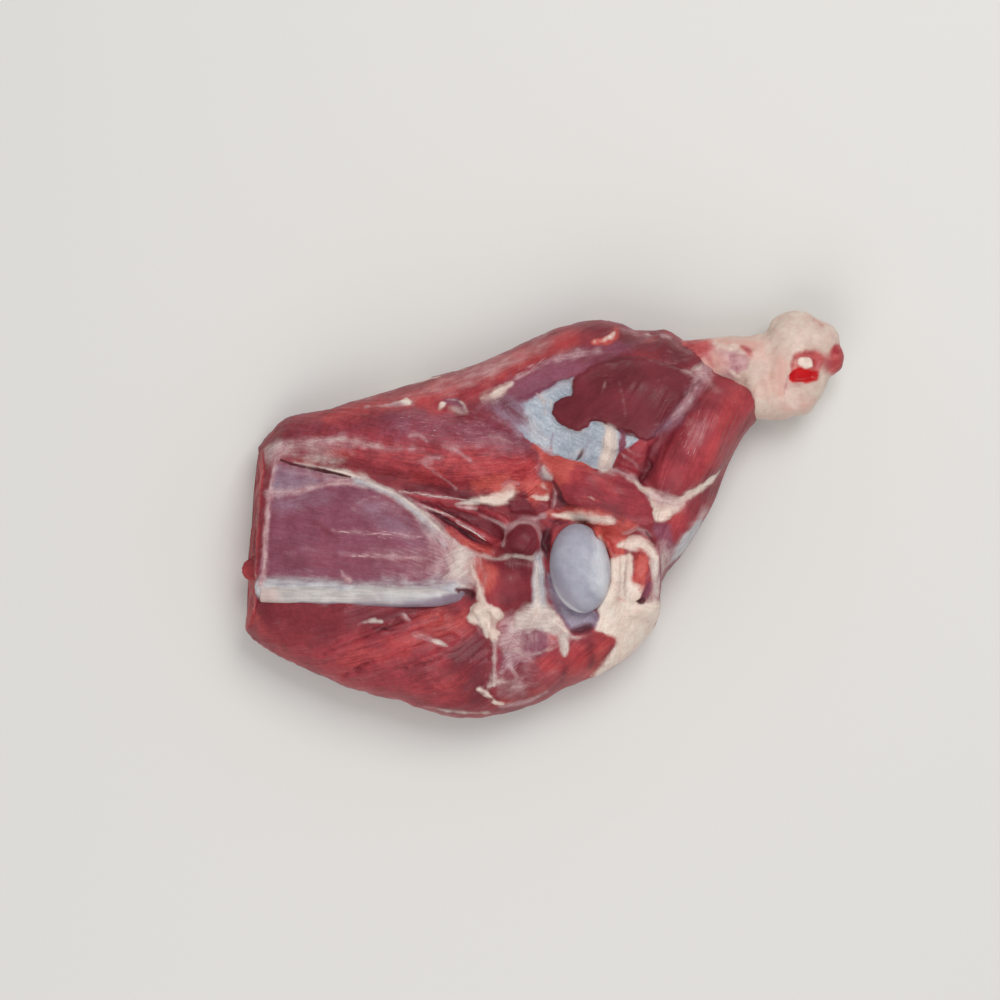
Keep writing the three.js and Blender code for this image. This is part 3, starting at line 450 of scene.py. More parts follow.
JOINT_FEATURES = (
    gap(((6.8, 7.2), (10.2, 3.2), (17.8, 2.2)), (2, 4, 1.6), lift=-2.4, edge=4, amount=0.75),
    maroon(((-20.8, -13.8), (-18.8, -7.2), (-11.8, -4.8), (-4.8, -7.2), (-2.8, -13.8), (-4.8, -20.2),
        (-11.8, -22.8), (-18.8, -20.2)), lift=-0.8, edge=2.4, ragged=0.3, amount=1),
    film(((-21.2, -16.8), (-20.8, -10.2), (-17.2, -6), (-11.2, -4), (-4.8, -5.5), (-0.8, -10.8),
        (-0.2, -18.8), (-1.8, -22.8)), (1, 1.8, 2.4, 2.4, 2.4, 2.8, 2.8, 2), lift=0.2, edge=2.6,
        ragged=0.3, amount=0.85),
    gap(((1.2, -9.8), (2.2, -16.8), (2.2, -22.8)), (2, 3.2, 2), lift=-2.4, edge=3, amount=0.8),
    orange(((-34.2, -22.8), (-23.2, -23.2), (-20.2, -31.2), (-24.2, -39.8), (-30.2, -41.8),
        (-33.8, -33.8)), edge=7, ragged=1.2, amount=0.64),
    maroon(((-21.2, -24.8), (-6.2, -24.8), (-5.2, -39.8), (-11.2, -46.8), (-20.2, -46.8)), edge=8),
    fat(((-35.8, -24.8), (-33.8, -31.8), (-31.8, -38.8), (-30.8, -45.8)), (1.4, 2.6, 4.4, 6.4), lift=0.6,
        amount=0.8),
    film(((-18.2, -24.2), (-11.2, -25.2), (-5.2, -26.2)), (1, 2, 2), edge=4, ragged=0.8, amount=0.4),
    film(((-31.2, -24.8), (-29.2, -31.2), (-29.8, -38.8)), (0.8, 1.2, 0.8), ragged=0.8, amount=0.36),
    tendon(((-36.2, -20.2), (-26.2, -21.5), (-16.2, -22.2), (-4.2, -22.8)), (0.8, 1.1, 1.2, 2), lift=0.3,
        edge=2.2, ragged=0.3, amount=0.8),
    film(((-19.8, -51.8), (-7.2, -49.8), (1.2, -46.8), (9.8, -51.8), (17.8, -59.8), (11.8, -63.8),
        (-1.2, -66.8), (-7.2, -71.8), (-18.8, -74.8), (-22.8, -63.8)), edge=8, ragged=1, amount=0.68),
    fresh(((-1.2, -72.8), (16.2, -66.8), (28.8, -68.8), (23.8, -79.8), (3.8, -85.8))),
    mauve(((-22.2, -68.8), (-11.2, -71.2), (-1.2, -68.8), (-8.2, -73.8), (-16.2, -79.8), (-22.2, -80.8)),
        edge=6, ragged=1, amount=0.6),
    sheen(((-19.8, -53.8), (-8.2, -56.8), (-7.2, -66.8), (-13.2, -73.8), (-19.8, -71.8), (-22.2, -62.8)),
        edge=8, ragged=1, amount=0.25),
    glint(((-21.2, -54.8), (-7.2, -58.8), (-6.2, -69.8), (-14.2, -81.8), (-21.2, -81.8)), edge=4,
        amount=1.05),
    film(((-19.8, -58.8), (-14.2, -62.2), (-7.8, -67.8)), (2, 4, 2), edge=6, ragged=1),
    tendon(((-19.2, -69.8), (-14.2, -67.8), (-9.2, -70.8)), (1, 2.4, 1), edge=4, ragged=1.2, amount=0.5),
    film(((-18.2, -75.8), (-13.2, -72.2), (-6.2, -72.8)), (2, 4, 2), edge=5, ragged=1.2),
    film(((-21.2, -79.8), (-17.2, -76.2), (-13.2, -80.8)), (1, 1.6, 1), edge=2.4, ragged=0.8,
        amount=0.6),
    mauve(((-8.2, -57.2), (0.2, -56.8), (2.2, -66.2), (-2.2, -69.8), (-9.2, -67.8)), edge=7, ragged=1.2),
    film(((-5.2, -59.8), (-1.2, -60.8), (-2.2, -66.2), (-5.8, -65.2)), edge=5, amount=0.4),
    fresh(((2.2, -59.2), (7.8, -59.8), (8.8, -63.2), (3.2, -64.2)), edge=4.4, ragged=1, amount=0.5),
    sheen(((-2.2, -21.8), (-1.8, -33.8), (-1.5, -43.8), (-1.2, -51.8)), (3.4, 6, 6.6, 10), lift=0.6,
        edge=4.4, ragged=0.3, amount=0.92),
    tendon(((-12.2, -50.8), (-4.2, -46.8), (2.8, -45.8), (8.8, -50.2), (12.8, -56.2), (6.8, -59.8),
        (-1.2, -57.8), (-8.8, -58.2), (-14.2, -57.2)), lift=0.6, edge=7, ragged=0.8, amount=1),
    fat(((-3, -24.8), (-2.8, -36.2), (-2.5, -46.8), (-5.2, -53.8)), (1.6, 3, 3.4, 3), lift=0.3,
        ragged=0.3, amount=0.6),
    fat(((0.8, -50.8), (6.8, -53.8), (11.2, -57.8)), (2, 4, 3), ragged=0.5, amount=0.75),
    gap(((2, -23.8), (2.2, -33.8), (3.2, -43.8)), (0.7, 1, 0.7), lift=-0.8, edge=2, ragged=0.2,
        amount=0.6),
    tendon(((-6.2, -70.8), (1.8, -67.8), (9.2, -65.2)), (0.8, 2, 2.6), lift=0.3, edge=3.4, ragged=0.9,
        amount=0.5),
    tendon(((9.8, -61.8), (10.8, -66.2), (11.2, -71.2)), (4, 4, 2.2), lift=0.6, edge=2.6, amount=0.92),
    fat(((-35.8, -46.8), (-28.8, -45.2), (-22.8, -46.8), (-20.8, -51.2), (-22.8, -56.8), (-21.8, -59.2),
        (-23.2, -61.8), (-24.8, -64.2), (-26.2, -60.8), (-27.8, -63.2), (-29.8, -59.2), (-32.8, -56.8),
        (-36.2, -53.2)), lift=2.4, edge=2.4, ragged=1.2),
    fat(((-32.8, -49.2), (-31.2, -51.2)), (5, 4), lift=1.2, edge=2.4),
    fat(((-27.2, -54.8), (-26.8, -58.8)), (5, 4), lift=1.4, edge=2.4),
    fat(((-23.2, -49.2), (-22.2, -51.8)), (4, 3), lift=1.2, edge=2.4),
    film(((-34.2, -48.8), (-31.8, -54.8), (-29.8, -60.8)), (0.8, 1.6, 0.8), lift=-0.9, edge=2.6,
        ragged=0.8),
    film(((-26.8, -48.2), (-25.2, -53.8), (-26.2, -59.8)), (0.8, 1.6, 0.8), lift=-0.9, edge=2.6,
        ragged=0.8),
    gap(((-26.2, -65.8), (-25.8, -77.8), (-25.8, -88.8)), (1, 1.6, 1), lift=-2, edge=2.6),
    film(((-24.2, -62.8), (-24.2, -73.8), (-24.2, -85.8)), (1.8, 1.6, 1.4), lift=0.4, edge=2.6,
        amount=0.66),
    tendon(((-24.2, -63.8), (-24.2, -73.8), (-23.8, -81.8)), (1, 1.2, 1), ragged=0.4, amount=0.6),
    tendon(((-27.2, -87.2), (-23.8, -85.2), (-19.2, -85.2), (-13.2, -84.2)), (1.4, 3, 1.8, 0.8),
        lift=0.4, edge=4, ragged=1.6, amount=0.55),
    film(((-21.2, -82.8), (-10.2, -80.8), (-7.2, -89.8), (-17.2, -94.8), (-22.2, -89.8)), edge=9,
        ragged=1.5, amount=0.36),
    fat(((-31.2, -88.2), (-27.8, -90.2), (-24.2, -93.8), (-20.2, -95.8)), (1.6, 2.2, 1.5, 1.7), lift=0.6,
        edge=3, ragged=1.4, amount=0.8),
    gap(((-43.8, -37.8), (-37.8, -36.8), (-33.8, -39.8), (-34.8, -44.8), (-39.8, -43.2)), lift=-4,
        edge=4, amount=0.75),
    tendon(((-42.2, -34.8), (-38.8, -36.8), (-34.2, -36.2)), (1, 1.6, 1.2), lift=0.6, edge=2.6,
        amount=0.6),
    fat(((33.2, -17.2), (38.2, -20.2), (42.8, -20.2), (44.2, -24.8), (43.2, -39.8), (46.8, -44.8),
        (52.8, -45.2), (56.8, -40.8), (60.8, -43.8), (62.8, -50.8), (59.8, -58.8), (53.8, -64.8),
        (47.2, -70.2), (39.8, -75.8), (32.8, -80.8), (25.8, -85.8), (20.8, -85.8), (27.2, -77.8),
        (32.2, -72.2), (35.8, -68.2), (36.8, -64.2), (31.8, -60.8), (25.8, -59.2), (25.2, -54.8),
        (29.2, -46.8), (32.8, -39.8), (34.2, -31.2)), lift=0.9, ragged=0.6),
    fat(((31.8, -13.8), (34.2, -21.8), (34.2, -31.8), (31.8, -40.8), (28.2, -47.8)), (2, 3.4, 4, 4, 3),
        lift=3, edge=3, ragged=0.2),
    fat(((42.2, -21.8), (42.2, -31.2), (41.8, -40.8)), (2, 3, 3), lift=1.2, edge=3, ragged=0.3),
    fat(((44.8, -48.8), (51.8, -49.8), (57.8, -49.8)), (5, 9, 9), lift=1.4, ragged=0.6),
    tendon(((37.2, -21.8), (37.2, -32.8), (35.2, -43.8)), (1, 1.6, 1), lift=-1, edge=3),
    shade(((39.8, -23.8), (40, -32.8), (38.8, -40.8)), (0.7, 1.2, 0.8), lift=-1, edge=3, amount=0.3),
    orange(((36.8, -42.2), (39.8, -41.8), (41.2, -43.8), (38.2, -44.2)), edge=3, amount=0.35),
    maroon(((41.8, -47.2), (42.2, -49.2)), (1.2, 1.2), edge=2.4, amount=0.3),
    orange(((23.8, -58.8), (30.8, -60.8), (38.8, -60.8)), (1, 2, 1), amount=0.45),
    orange(((21.8, -5.2), (32.2, -3.2), (42.2, -4.2), (46.2, -8.8), (41.2, -14.2), (38.2, -20.8),
        (30.2, -22.8), (24.2, -15.2)), lift=2, ragged=0.7, amount=1),
    fresh(((31.8, -10.8), (38.8, -10.8), (37.8, -18.8), (32.8, -17.8)), edge=5, ragged=0.6),
    fat(((27.8, -11.8), (31.2, -16.8), (34.2, -20.8)), (1.4, 2.4, 1.6), edge=3, amount=0.5),
    fresh(((30.8, -5.8), (36.8, -6.8), (39.8, -9.8)), (3, 5, 3), edge=6, ragged=1),
    film(((39.8, -10.2), (46.8, -9.2), (52.2, -12.2)), (1.4, 2.8, 1.4), amount=0.8),
    gap(((51.2, -11.2), (54.2, -15.2)), (1.2, 1.6), lift=-1, edge=2, amount=0.65),
    fat(((37.8, -16.2), (44.8, -15.5), (50.2, -16.2), (53.8, -19.8), (55.8, -24.8), (56.2, -32.8)),
        (2.4, 5, 5.4, 4.6, 4, 2), lift=1.5, edge=3.4, ragged=0.4),
    film(((45.8, -16.2), (51.2, -18.8), (54.2, -24.8)), (0.8, 1.2, 0.8), lift=-0.6, edge=2.6, ragged=0.3,
        amount=0.45),
    tendon(((54.2, -23.8), (56.2, -30.8), (55.2, -38.8), (52.8, -42.8)), (3, 5, 5, 2.4), edge=4,
        amount=0.8),
    fat(((43.2, -33.8), (47.8, -34.8), (50.8, -35.8), (49.2, -40.2), (45.8, -43.8), (42.8, -42.8)),
        lift=1.4, edge=3, ragged=0.6),
    orange(((45.8, -20.8), (50.2, -19.8), (52.2, -23.8), (51.2, -29.2), (48.8, -33.2), (45.2, -34.8),
        (44.8, -28.8)), lift=1, ragged=0.8, amount=0.95),
    fat(((45.2, -23.8), (45.2, -28.8), (45.8, -33.8)), (1, 2, 1), amount=0.4),
    film(((58.8, -15.8), (61.8, -22.8), (60.2, -31.8), (57.8, -40.8)), (4, 7, 7, 5), edge=5, amount=0.9),
    tendon(((60.8, -21.8), (59.8, -30.8), (57.2, -39.8)), (2, 4, 3), edge=4, amount=0.6),
    mauve(((57.8, -24.8), (58.8, -28.8), (57.2, -33.8)), (1, 1.6, 1), edge=4, amount=0.4),
    orange(((45.8, -32.2), (49.2, -33.2), (47.8, -37.8)), (2, 3, 1.6), edge=3, ragged=0.8, amount=0.85),
    mauve(((50.8, -35.8), (53.8, -34.2), (54.2, -38.8), (51.8, -42.8), (48.8, -43.8)), lift=-1),
    gap(((45.8, -43.2), (51.2, -42.2), (50.2, -45.2), (47.2, -45.2)), lift=-1.6, edge=2, amount=0.9),
    gap(((-0.8, -14.8), (2.2, -7.8), (6.8, -3.8), (12.8, -2.8), (6.8, -6.8), (4.2, -12.8), (3.2, -19.8),
        (0.2, -21.8)), lift=-4, edge=4, amount=0.6),
    maroon(((3.8, -4.2), (8.8, -4.8), (13.8, -4.2)), (2, 3, 1.6), lift=-0.6, amount=0.7),
    orange(((3.8, -0.8), (16.2, -1.5), (28.8, -1.8), (37.2, -3.2)), (3, 6.4, 6.8, 4.4), lift=1,
        ragged=0.3, amount=0.9),
    fat(((4.8, -1.2), (16.8, -1.9), (27.8, -2), (34.8, -3)), (1.8, 5.2, 5.4, 3.4), lift=0.6, edge=3,
        ragged=0.4, amount=0.7),
    fat(((6.8, -1.8), (18.8, -2), (29.8, -2.2)), (0.8, 1.8, 1), edge=2.4, ragged=0.4, amount=0.5),
    maroon(((31.8, 2.2), (35.8, -0.2), (39.8, -4.8)), (2, 2.6, 2), ragged=1, amount=0.6),
    mauve(((2.2, -30.8), (4.8, -43.8), (9.8, -52.8), (15.2, -59.2), (20.2, -60.8), (25.2, -57.8),
        (26.8, -49.8), (20.2, -46.2), (12.2, -40.2), (6.2, -31.2)), lift=-0.8, amount=1),
    shade(((2.5, -30.8), (4.8, -42.8), (10.2, -51.8), (15.8, -57.8), (24.8, -55.8), (26.2, -49.8),
        (20.2, -46.2), (12.2, -40.2)), amount=0.95),
    sheen(((8.8, -46.8), (14.8, -51.8), (18.8, -52.8)), (1, 2, 1), ragged=0.4, amount=0.4),
    gap(((12.8, -57.8), (18.2, -54.2), (23.8, -54.2), (25.2, -58.2), (21.2, -61.2), (14.8, -60.8)),
        lift=-4.5, edge=4, amount=0.66),
    tendon(((4.8, -57.8), (14.8, -61.8), (23.8, -61.2)), (1.4, 2, 1), lift=0.4, edge=3, amount=0.65),
    orange(((18.8, -63.8), (28.8, -61.8), (32.8, -68.8), (26.8, -74.8), (19.8, -72.8)), edge=8, ragged=2,
        amount=0.45),
    film(((-16.2, -88.8), (-3.2, -77.8), (11.8, -71.8), (22.8, -75.8), (20.8, -81.8), (6.8, -87.8),
        (-6.2, -91.8)), edge=14, ragged=1.5, amount=0.14),
    fresh(((8.8, -77.8), (16.8, -66.8), (31.8, -63.8), (29.8, -73.8), (18.8, -81.8)), edge=8),
    maroon(((22.8, -63.8), (24.8, -69.8), (23.8, -76.8)), (2, 5, 2), edge=5, ragged=1, amount=0.5),
    orange(((26.8, -73.8), (24.8, -78.8), (20.8, -81.8)), (1.6, 3, 1.6), ragged=1),
    film(((-5.2, -73.8), (1.2, -76.8), (-1.2, -81.8), (-8.2, -80.8)), edge=8, ragged=1.5, amount=0.3),
    fresh(((-1.2, -71.8), (6.8, -72.8), (4.8, -79.8), (-1.2, -78.8)), edge=5, ragged=1, amount=0.5),
    maroon(((6.8, -73.8), (11.8, -75.8), (9.8, -83.8)), (1, 3, 2), edge=4, ragged=1, amount=0.45),
)
MEAT_FEATURES = BLADE_FEATURES + SLIP_FEATURES + LOWER_FEATURES + SHANK_FEATURES + JOINT_FEATURES
MEAT_TISSUES = ("maroon", "fresh", "orange", "mauve", "film", "glint", "silver", "sheen", "shade", "tendon",
                "fat", "gap")
# Tissues that lie over the others and take no share from them: the glints, painted highlights of wet light.
OVERLAYS = ("glint",)

# How a tissue's border breaks up: the pattern that breaks it, how far, and where it starts and is full.
BORDERS = {
    "fibrous": ("streaks", 1.0, 0.12, 0.88),
    "milky": ("strands", 0.7, 0.05, 0.95),
    "crisp": ("strands", 0.7, 0.25, 0.75),
    "firm": ("strands", 0.7, 0.15, 0.85),
    "sharp": ("strands", 0.3, 0.2, 0.8),
    "sparse": ("sparks", 2.0, 1.05, 1.4),
}
BORDER_OF = {"maroon": "fibrous", "fresh": "fibrous", "orange": "fibrous", "glint": "sparse",
             "silver": "crisp", "marrow": "crisp", "chip": "crisp", "fat": "firm", "gap": "sharp"}
PALE_TISSUES = ("film", "silver", "sheen", "shade", "tendon", "fat", "rosy", "pearl", "dusk")
# How evenly a tissue is coloured on the finest scale.
CALM_OF = {"mauve": 0.5, "film": 0.5, "silver": 0.0, "sheen": 0.8, "shade": 0.7, "tendon": 0.8, "fat": 0.85,
           "gap": 0.9}
# Sizes in millimetres of the tears in a border, and of the stretches where it is softer.
LARGE_TEAR = 4.0
SMALL_TEAR = 1.7
SOFT_STRETCH = 9.0
# How far in from its border a lifted outline reaches its height, at least and for each millimetre of lift.
LEAST_SLOPE = 1.8
SLOPE_PER_LIFT = 1.3
# How far the patterns of features and of muscles are set apart, and the cover from which a feature's own
# strands show.
FEATURES_APART = 7.3
MUSCLES_APART = 3.7
STRAND_COVER = 0.3
# How many times slower the grain of bone and cartilage changes with height than in plan.
GRAIN_HEIGHT = 12

# The bone as the model has it: the shaft's start, length, radius and flare, and the middles and radii of
# the knuckle's rounded masses. Then what lies on it.
SHAFT = ((52, 74, 22), 66.0, 11.0, 5.0)
KNUCKLE = (
    ((125.6, 73, 21.5), (18.7, 24, 20.5)),
    ((127, 86, 22), (15, 15.5, 17)),
    ((136, 86.5, 22), (13.4, 10.5, 15)),
    ((119, 61, 20.5), (17, 15, 19)),
    ((128.3, 58, 20.5), (10.5, 9.6, 15)),
    ((111.5, 55, 20.5), (9, 8.5, 15)),
    ((107.5, 60, 24), (10, 13, 17)),
    ((143.5, 77.5, 24), (8, 9, 9)),
)
BONE_TISSUES = ("veil", "rosy", "flesh", "marrow", "chip")
BONE_FEATURES = (
    veil(((58.8, 87.2), (78.8, 86.2), (85.8, 86.2), (95.8, 80.2), (97.8, 70.2), (91.8, 66.2),
        (78.8, 69.2), (58.8, 66.2)), ragged=1.5),
    flesh(((66.8, 88.2), (81.8, 87.2), (85.2, 83.2), (83.2, 77.2), (78.8, 73.2), (66.8, 76.2)), edge=4),
    rosy(((80.8, 78.2), (89.8, 79.2), (93.8, 73.2), (87.8, 69.2), (80.8, 71.2)), edge=4, amount=0.7),
    rosy(((103.8, 85.2), (111.8, 87.2), (112.8, 77.2), (104.8, 75.2))),
    flesh(((85.8, 84.2), (94.8, 84.2), (104.8, 82.8)), (6, 7, 5), edge=6, amount=0.36),
    rosy(((85.8, 84.8), (94.8, 84.8), (103.8, 83.8)), (5, 6, 4), edge=5, ragged=1, amount=0.6),
    chip(((88.8, 82.8), (93.8, 81.8), (97.8, 82.2)), (1.4, 2.4, 1.4), lift=0.6),
    flesh(((99.2, 81.8), (102.2, 80.2), (103.8, 76.8)), (1, 2.4, 1.2), edge=2.6, ragged=0.6, amount=0.6),
    flesh(((80.8, 81.2), (82.8, 76.2), (84.8, 73.2)), (1.6, 2.4, 1.2), edge=3.4, amount=0.55),
    veil(((92.8, 77.8), (99.8, 79.2), (103.2, 76.8), (102.2, 71.2), (97.2, 69.2), (93.2, 71.2)), lift=-1,
        edge=4, ragged=0.8, amount=0.8),
    chip(((85.8, 83.8), (92.8, 83.2), (99.8, 82.8)), (3, 5, 3), edge=4),
    flesh(((99.2, 82.8), (102.2, 81.2), (103.8, 78.2)), (1, 2, 1), edge=2.6, ragged=0.8, amount=0.6),
    chip(((89.2, 73.2), (93.8, 70.8), (97.8, 66.8)), (1.4, 2.6, 1.6), lift=0.4, ragged=0.9, amount=0.7),
    rosy(((115.8, 76.2), (122.2, 77.2), (122.8, 64.2), (118.8, 57.2), (114.8, 64.2)), edge=7, ragged=1,
        amount=0.75),
    rosy(((118.8, 55.2), (130.8, 57.2), (137.8, 55.2), (131.8, 50.2), (121.8, 49.2))),
    chip(((121.8, 60.2), (126.8, 61.2), (131.8, 59.2)), (1.6, 3, 1.6), edge=4, ragged=0.8),
    # A broad pale wash on the knuckle's lower lobe is painted light that offsets the shade on that lobe.
    chip(((114.8, 56.2), (123.8, 55.2), (131.8, 56.2)), (4, 8, 5), edge=9, amount=0.5),
    flesh(((135.8, 96.2), (139.8, 93.8)), (1.6, 2), ragged=0.6, amount=0.5),
    veil(((143.8, 90.2), (146.8, 86.2)), (1.2, 1.6), edge=2.4, amount=0.6),
    flesh(((135.2, 80.8), (141.8, 79.8), (146.2, 84.2), (150.2, 83.8), (151.8, 78.2), (150.2, 72.2),
        (147.2, 68.2), (142.8, 68.8), (138.2, 72.2)), edge=4, ragged=0.8, amount=0.8),
    flesh(((145.8, 83.8), (151.2, 82.2), (152.8, 75.2), (148.2, 68.8), (144.8, 75.2)), ragged=0.5,
        amount=1),
    flesh(((122.8, 72.2), (124.8, 78.2), (129.8, 81.2), (135.8, 80.8), (138.8, 76.2), (137.8, 70.2),
        (136.8, 65.8), (128.8, 64.2), (123.8, 65.2)), lift=-1.6, ragged=0.6),
    rosy(((125.8, 75.2), (125.2, 70.2)), (2, 2.4), edge=3, ragged=0.6, amount=0.55),
    marrow(((124.8, 73.2), (126.2, 77.2), (130.8, 79.8), (135.2, 78.8), (137.2, 74.2)),
        (1.6, 2, 1.8, 2, 1.6)),
    marrow(((122.2, 67.8), (125.2, 71.2), (130.2, 72.8), (133.8, 70.8), (137.2, 70.8), (137.2, 66.2),
        (129.8, 64.2), (123.8, 64.8)), lift=-0.6, edge=1.8, ragged=0.6, amount=1),
    chip(((127.8, 75.8), (131.2, 78.8), (135.2, 76.8), (135.8, 72.2), (131.8, 70.8), (128.2, 72.2)),
        lift=0.8, edge=2.4, ragged=1.2, amount=0.9),
    veil(((121.8, 67.8), (120.8, 62.2), (119.8, 57.2)), (0.7, 1.2, 0.8), lift=-0.8, edge=2),
)
BALL_TISSUES = ("shade", "pearl")
# The pearly patches are painted light on the ball's bright right side and a painted highlight along its
# ridge; the last is a pale rim at its lower left.
BALL_FEATURES = (
    pearl(((25.7, -8.7), (31, -16), (33.5, -24), (33, -34), (29, -42), (25, -34), (23.7, -24),
        (24.7, -16))),
    pearl(((17, -26.7), (24.7, -33.7), (30.2, -39.7)), (2, 4, 4), lift=0.3, amount=0.55),
    shade(((5, -30), (10, -43), (22, -49), (16, -40), (10, -30)), edge=6),
    pearl(((4.2, -35), (8.7, -42.2), (14.7, -47.2), (20.2, -50), (25, -49.5)), (1, 1.8, 1.8, 1.6, 1),
        lift=0.6, edge=1.6, ragged=0.2, amount=1),
)
BORDER_TISSUES = ("rosy", "sheen", "dusk")
BORDER_FEATURES = (
    rosy(((-143.8, -33.8), (-131.2, -33.8), (-130.2, -46.8), (-143.8, -46.8)), edge=10, ragged=1,
        amount=0.4),
    # The dusk bands are painted shade along the lower side of the blade's border.
    dusk(((-121.2, -46.2), (-96.2, -46.2), (-71.2, -46.2), (-51.2, -44.8), (-36.2, -40.8)),
        (2, 4, 6, 8, 8)),
    dusk(((-143.2, -46.8), (-121.2, -46.8), (-91.2, -47.2)), (2.6, 3, 3), edge=3.4, amount=0.7),
    sheen(((-81.2, -41.2), (-66.2, -41.8), (-51.2, -40.8)), (2, 4, 3), ragged=0.5, amount=0.6),
)

# Where white threads of membrane lie on the meat, with their widths.
THREADS = (
    (((-70, 10.6), (-56, 8.8), (-38, 6)), 0.7),
    (((-60, 3.6), (-52, 0.8), (-44, -2.6)), 0.8),
    (((-43.5, -4.4), (-36, -9), (-28, -14)), 0.8),
)


def linear(hex_colour):
    """Linear red, green, blue and full alpha of an sRGB colour written as #RRGGBB."""
    parts = [int(hex_colour[i:i + 2], 16) / 255 for i in (1, 3, 5)]
    return tuple(p / 12.92 if p <= 0.04045 else ((p + 0.055) / 1.055) ** 2.4 for p in parts) + (1.0,)


def smooth(share):
    """Rises from 0 to 1 with level ends."""
    share = np.clip(share, 0, 1)
    return share * share * (3 - 2 * share)


def rounded(share):
    """Rises from 0 to 1 as a quarter of a circle does."""
    return np.sqrt(1 - (1 - np.clip(share, 0, 1)) ** 2)


def cloud(u, v, seed):
    """Smooth noise from -1 to 1 that changes over one unit of u and v."""
    size = 256
    lattice = np.random.default_rng(seed).uniform(-1, 1, (size, size))
    i, j = np.floor(u).astype(int), np.floor(v).astype(int)
    s, t = smooth(u - i), smooth(v - j)
    corner = [[lattice[(i + a) % size, (j + b) % size] for b in (0, 1)] for a in (0, 1)]
    near = corner[0][0] * (1 - s) + corner[1][0] * s
    far = corner[0][1] * (1 - s) + corner[1][1] * s
    return near * (1 - t) + far * t


def spline(points, share, closed=False):
    """Points of a smooth curve through the given points, at shares of its length from 0 to 1."""
    points = np.asarray(points, float)
    count = len(points)
    spans = count if closed else count - 1
    place = np.clip(np.asarray(share, float), 0, 1) * spans
    index = np.minimum(place.astype(int), spans - 1)
    t = (place - index)[:, None]
    steps = [index + k for k in (-1, 0, 1, 2)]
    picks = [k % count if closed else np.clip(k, 0, count - 1) for k in steps]
    before, start, end, after = (points[k] for k in picks)
    leave, arrive = (end - before) / 2, (after - start) / 2
    cubic = 2 * start - 2 * end + leave + arrive
    square = 3 * end - 3 * start - 2 * leave - arrive
    return cubic * t**3 + square * t**2 + leave * t + start


def inner_distance(feature, x, y):
    """How far inside a feature's border points lie, and how they lie along and across it.

    Gives the distances, the distance over which the feature rises, and the places along and across.
    """
    closed = not feature.widths
    path = spline(feature.path, np.linspace(0, 1, 8 * len(feature.path)), closed)
    start, step = path[:-1], np.diff(path, axis=0)
    right, up = x[:, None] - start[:, 0], y[:, None] - start[:, 1]
    share = np.clip((right * step[:, 0] + up * step[:, 1]) / np.maximum((step**2).sum(1), 1e-9), 0, 1)
    distances = np.hypot(right - share * step[:, 0], up - share * step[:, 1])
    nearest = distances.argmin(1)
    rows = np.arange(len(x))
    distance = distances[rows, nearest]
    if closed:
        crossed = (up >= 0) != (up >= step[:, 1])
        slope = step[:, 0] / np.where(step[:, 1] == 0, 1, step[:, 1])
        inside = (crossed & (right < up * slope)).sum(1) % 2 == 1
        centre = path.mean(0)
        axes = np.linalg.svd(path - centre)[2]
        along, across = axes @ (np.stack([x, y]) - centre[:, None])
        rise = max(LEAST_SLOPE, SLOPE_PER_LIFT * abs(feature.lift))
        return np.where(inside, distance, -distance), rise, along, across
    along = (nearest + share[rows, nearest]) / len(step)
    half = np.interp(along, np.linspace(0, 1, len(feature.widths)), feature.widths) / 2
    turn = step[nearest, 0] * up[rows, nearest] - step[nearest, 1] * right[rows, nearest]
    length = np.linalg.norm(step, axis=1).sum()
    return half - distance, max(feature.widths) / 2, along * length, np.sign(turn) * distance


def lay_tissue(features, shares, x, y, strands):
    """Lays features over each other into the shares of the tissues, and gives their relief in millimetres.

    Each feature writes its own places along and across it into strands, which its streaks follow.
    """
    relief = np.zeros(len(x))
    for number, feature in enumerate(features):
        points = np.asarray(feature.path, float)
        margin = 1.3 * feature.edge + 2 * feature.ragged + max(feature.widths, default=0) + 4
        near = (x > points[:, 0].min() - margin) & (x < points[:, 0].max() + margin)
        near &= (y > points[:, 1].min() - margin) & (y < points[:, 1].max() + margin)
        if not near.any():
            continue
        px, py = x[near], y[near]
        field, rise, along, across = inner_distance(feature, px, py)
        tears = cloud(px / LARGE_TEAR, py / LARGE_TEAR, number)
        tears += 0.6 * cloud(px / SMALL_TEAR, py / SMALL_TEAR, number + 500)
        field = field + feature.ragged * tears
        softer = smooth(1.5 * cloud(px / SOFT_STRETCH, py / SOFT_STRETCH, number + 900))
        amount = feature.amount * smooth(field / (feature.edge * (1 + 1.4 * softer)) + 0.5)
        if feature.tissue in OVERLAYS:
            shares[feature.tissue][near] = np.maximum(shares[feature.tissue][near], amount)
            continue
        for name in shares:
            shares[name][near] *= 1 - amount
        if feature.tissue in shares:
            shares[feature.tissue][near] += amount
        own = np.stack([along, across, np.full(len(px), FEATURES_APART * number)], axis=1)
        strands[near] = np.where(amount[:, None] > STRAND_COVER, own, strands[near])
        profile = rounded(field / rise) if feature.lift > 0 else smooth(field / rise)
        relief[near] += feature.lift * profile
    return relief


def no_tissue(tissues, count):
    """Shares of tissues before any is laid."""
    return {name: np.zeros(count) for name in tissues}


def cover_factors(shares, tissues):
    """Mixing factors that lay the tissues over each other in order and leave each its share."""
    left = np.ones_like(next(iter(shares.values())))
    factors = {}
    for name in reversed(tissues):
        if name in OVERLAYS:
            factors[name] = shares[name]
            continue
        factors[name] = np.clip(shares[name] / np.maximum(left, 1e-4), 0, 1)
        left = left - shares[name]
    return factors


def muscle_heights(x, y, bed):
    """Height of every muscle's dome at points of the plan, one row for each muscle."""
    rows = []
    for muscle in MUSCLES.values():
        angle = math.radians(muscle.turn)
        right, up = x - muscle.at[0], y - muscle.at[1]
        along = right * math.cos(angle) + up * math.sin(angle)
        across = up * math.cos(angle) - right * math.sin(angle)
        outwards = np.hypot(along / muscle.long, across / muscle.wide)
        rows.append(bed + muscle.rise * (1 - outwards**MUSCLE_FULLNESS))
    return np.array(rows)


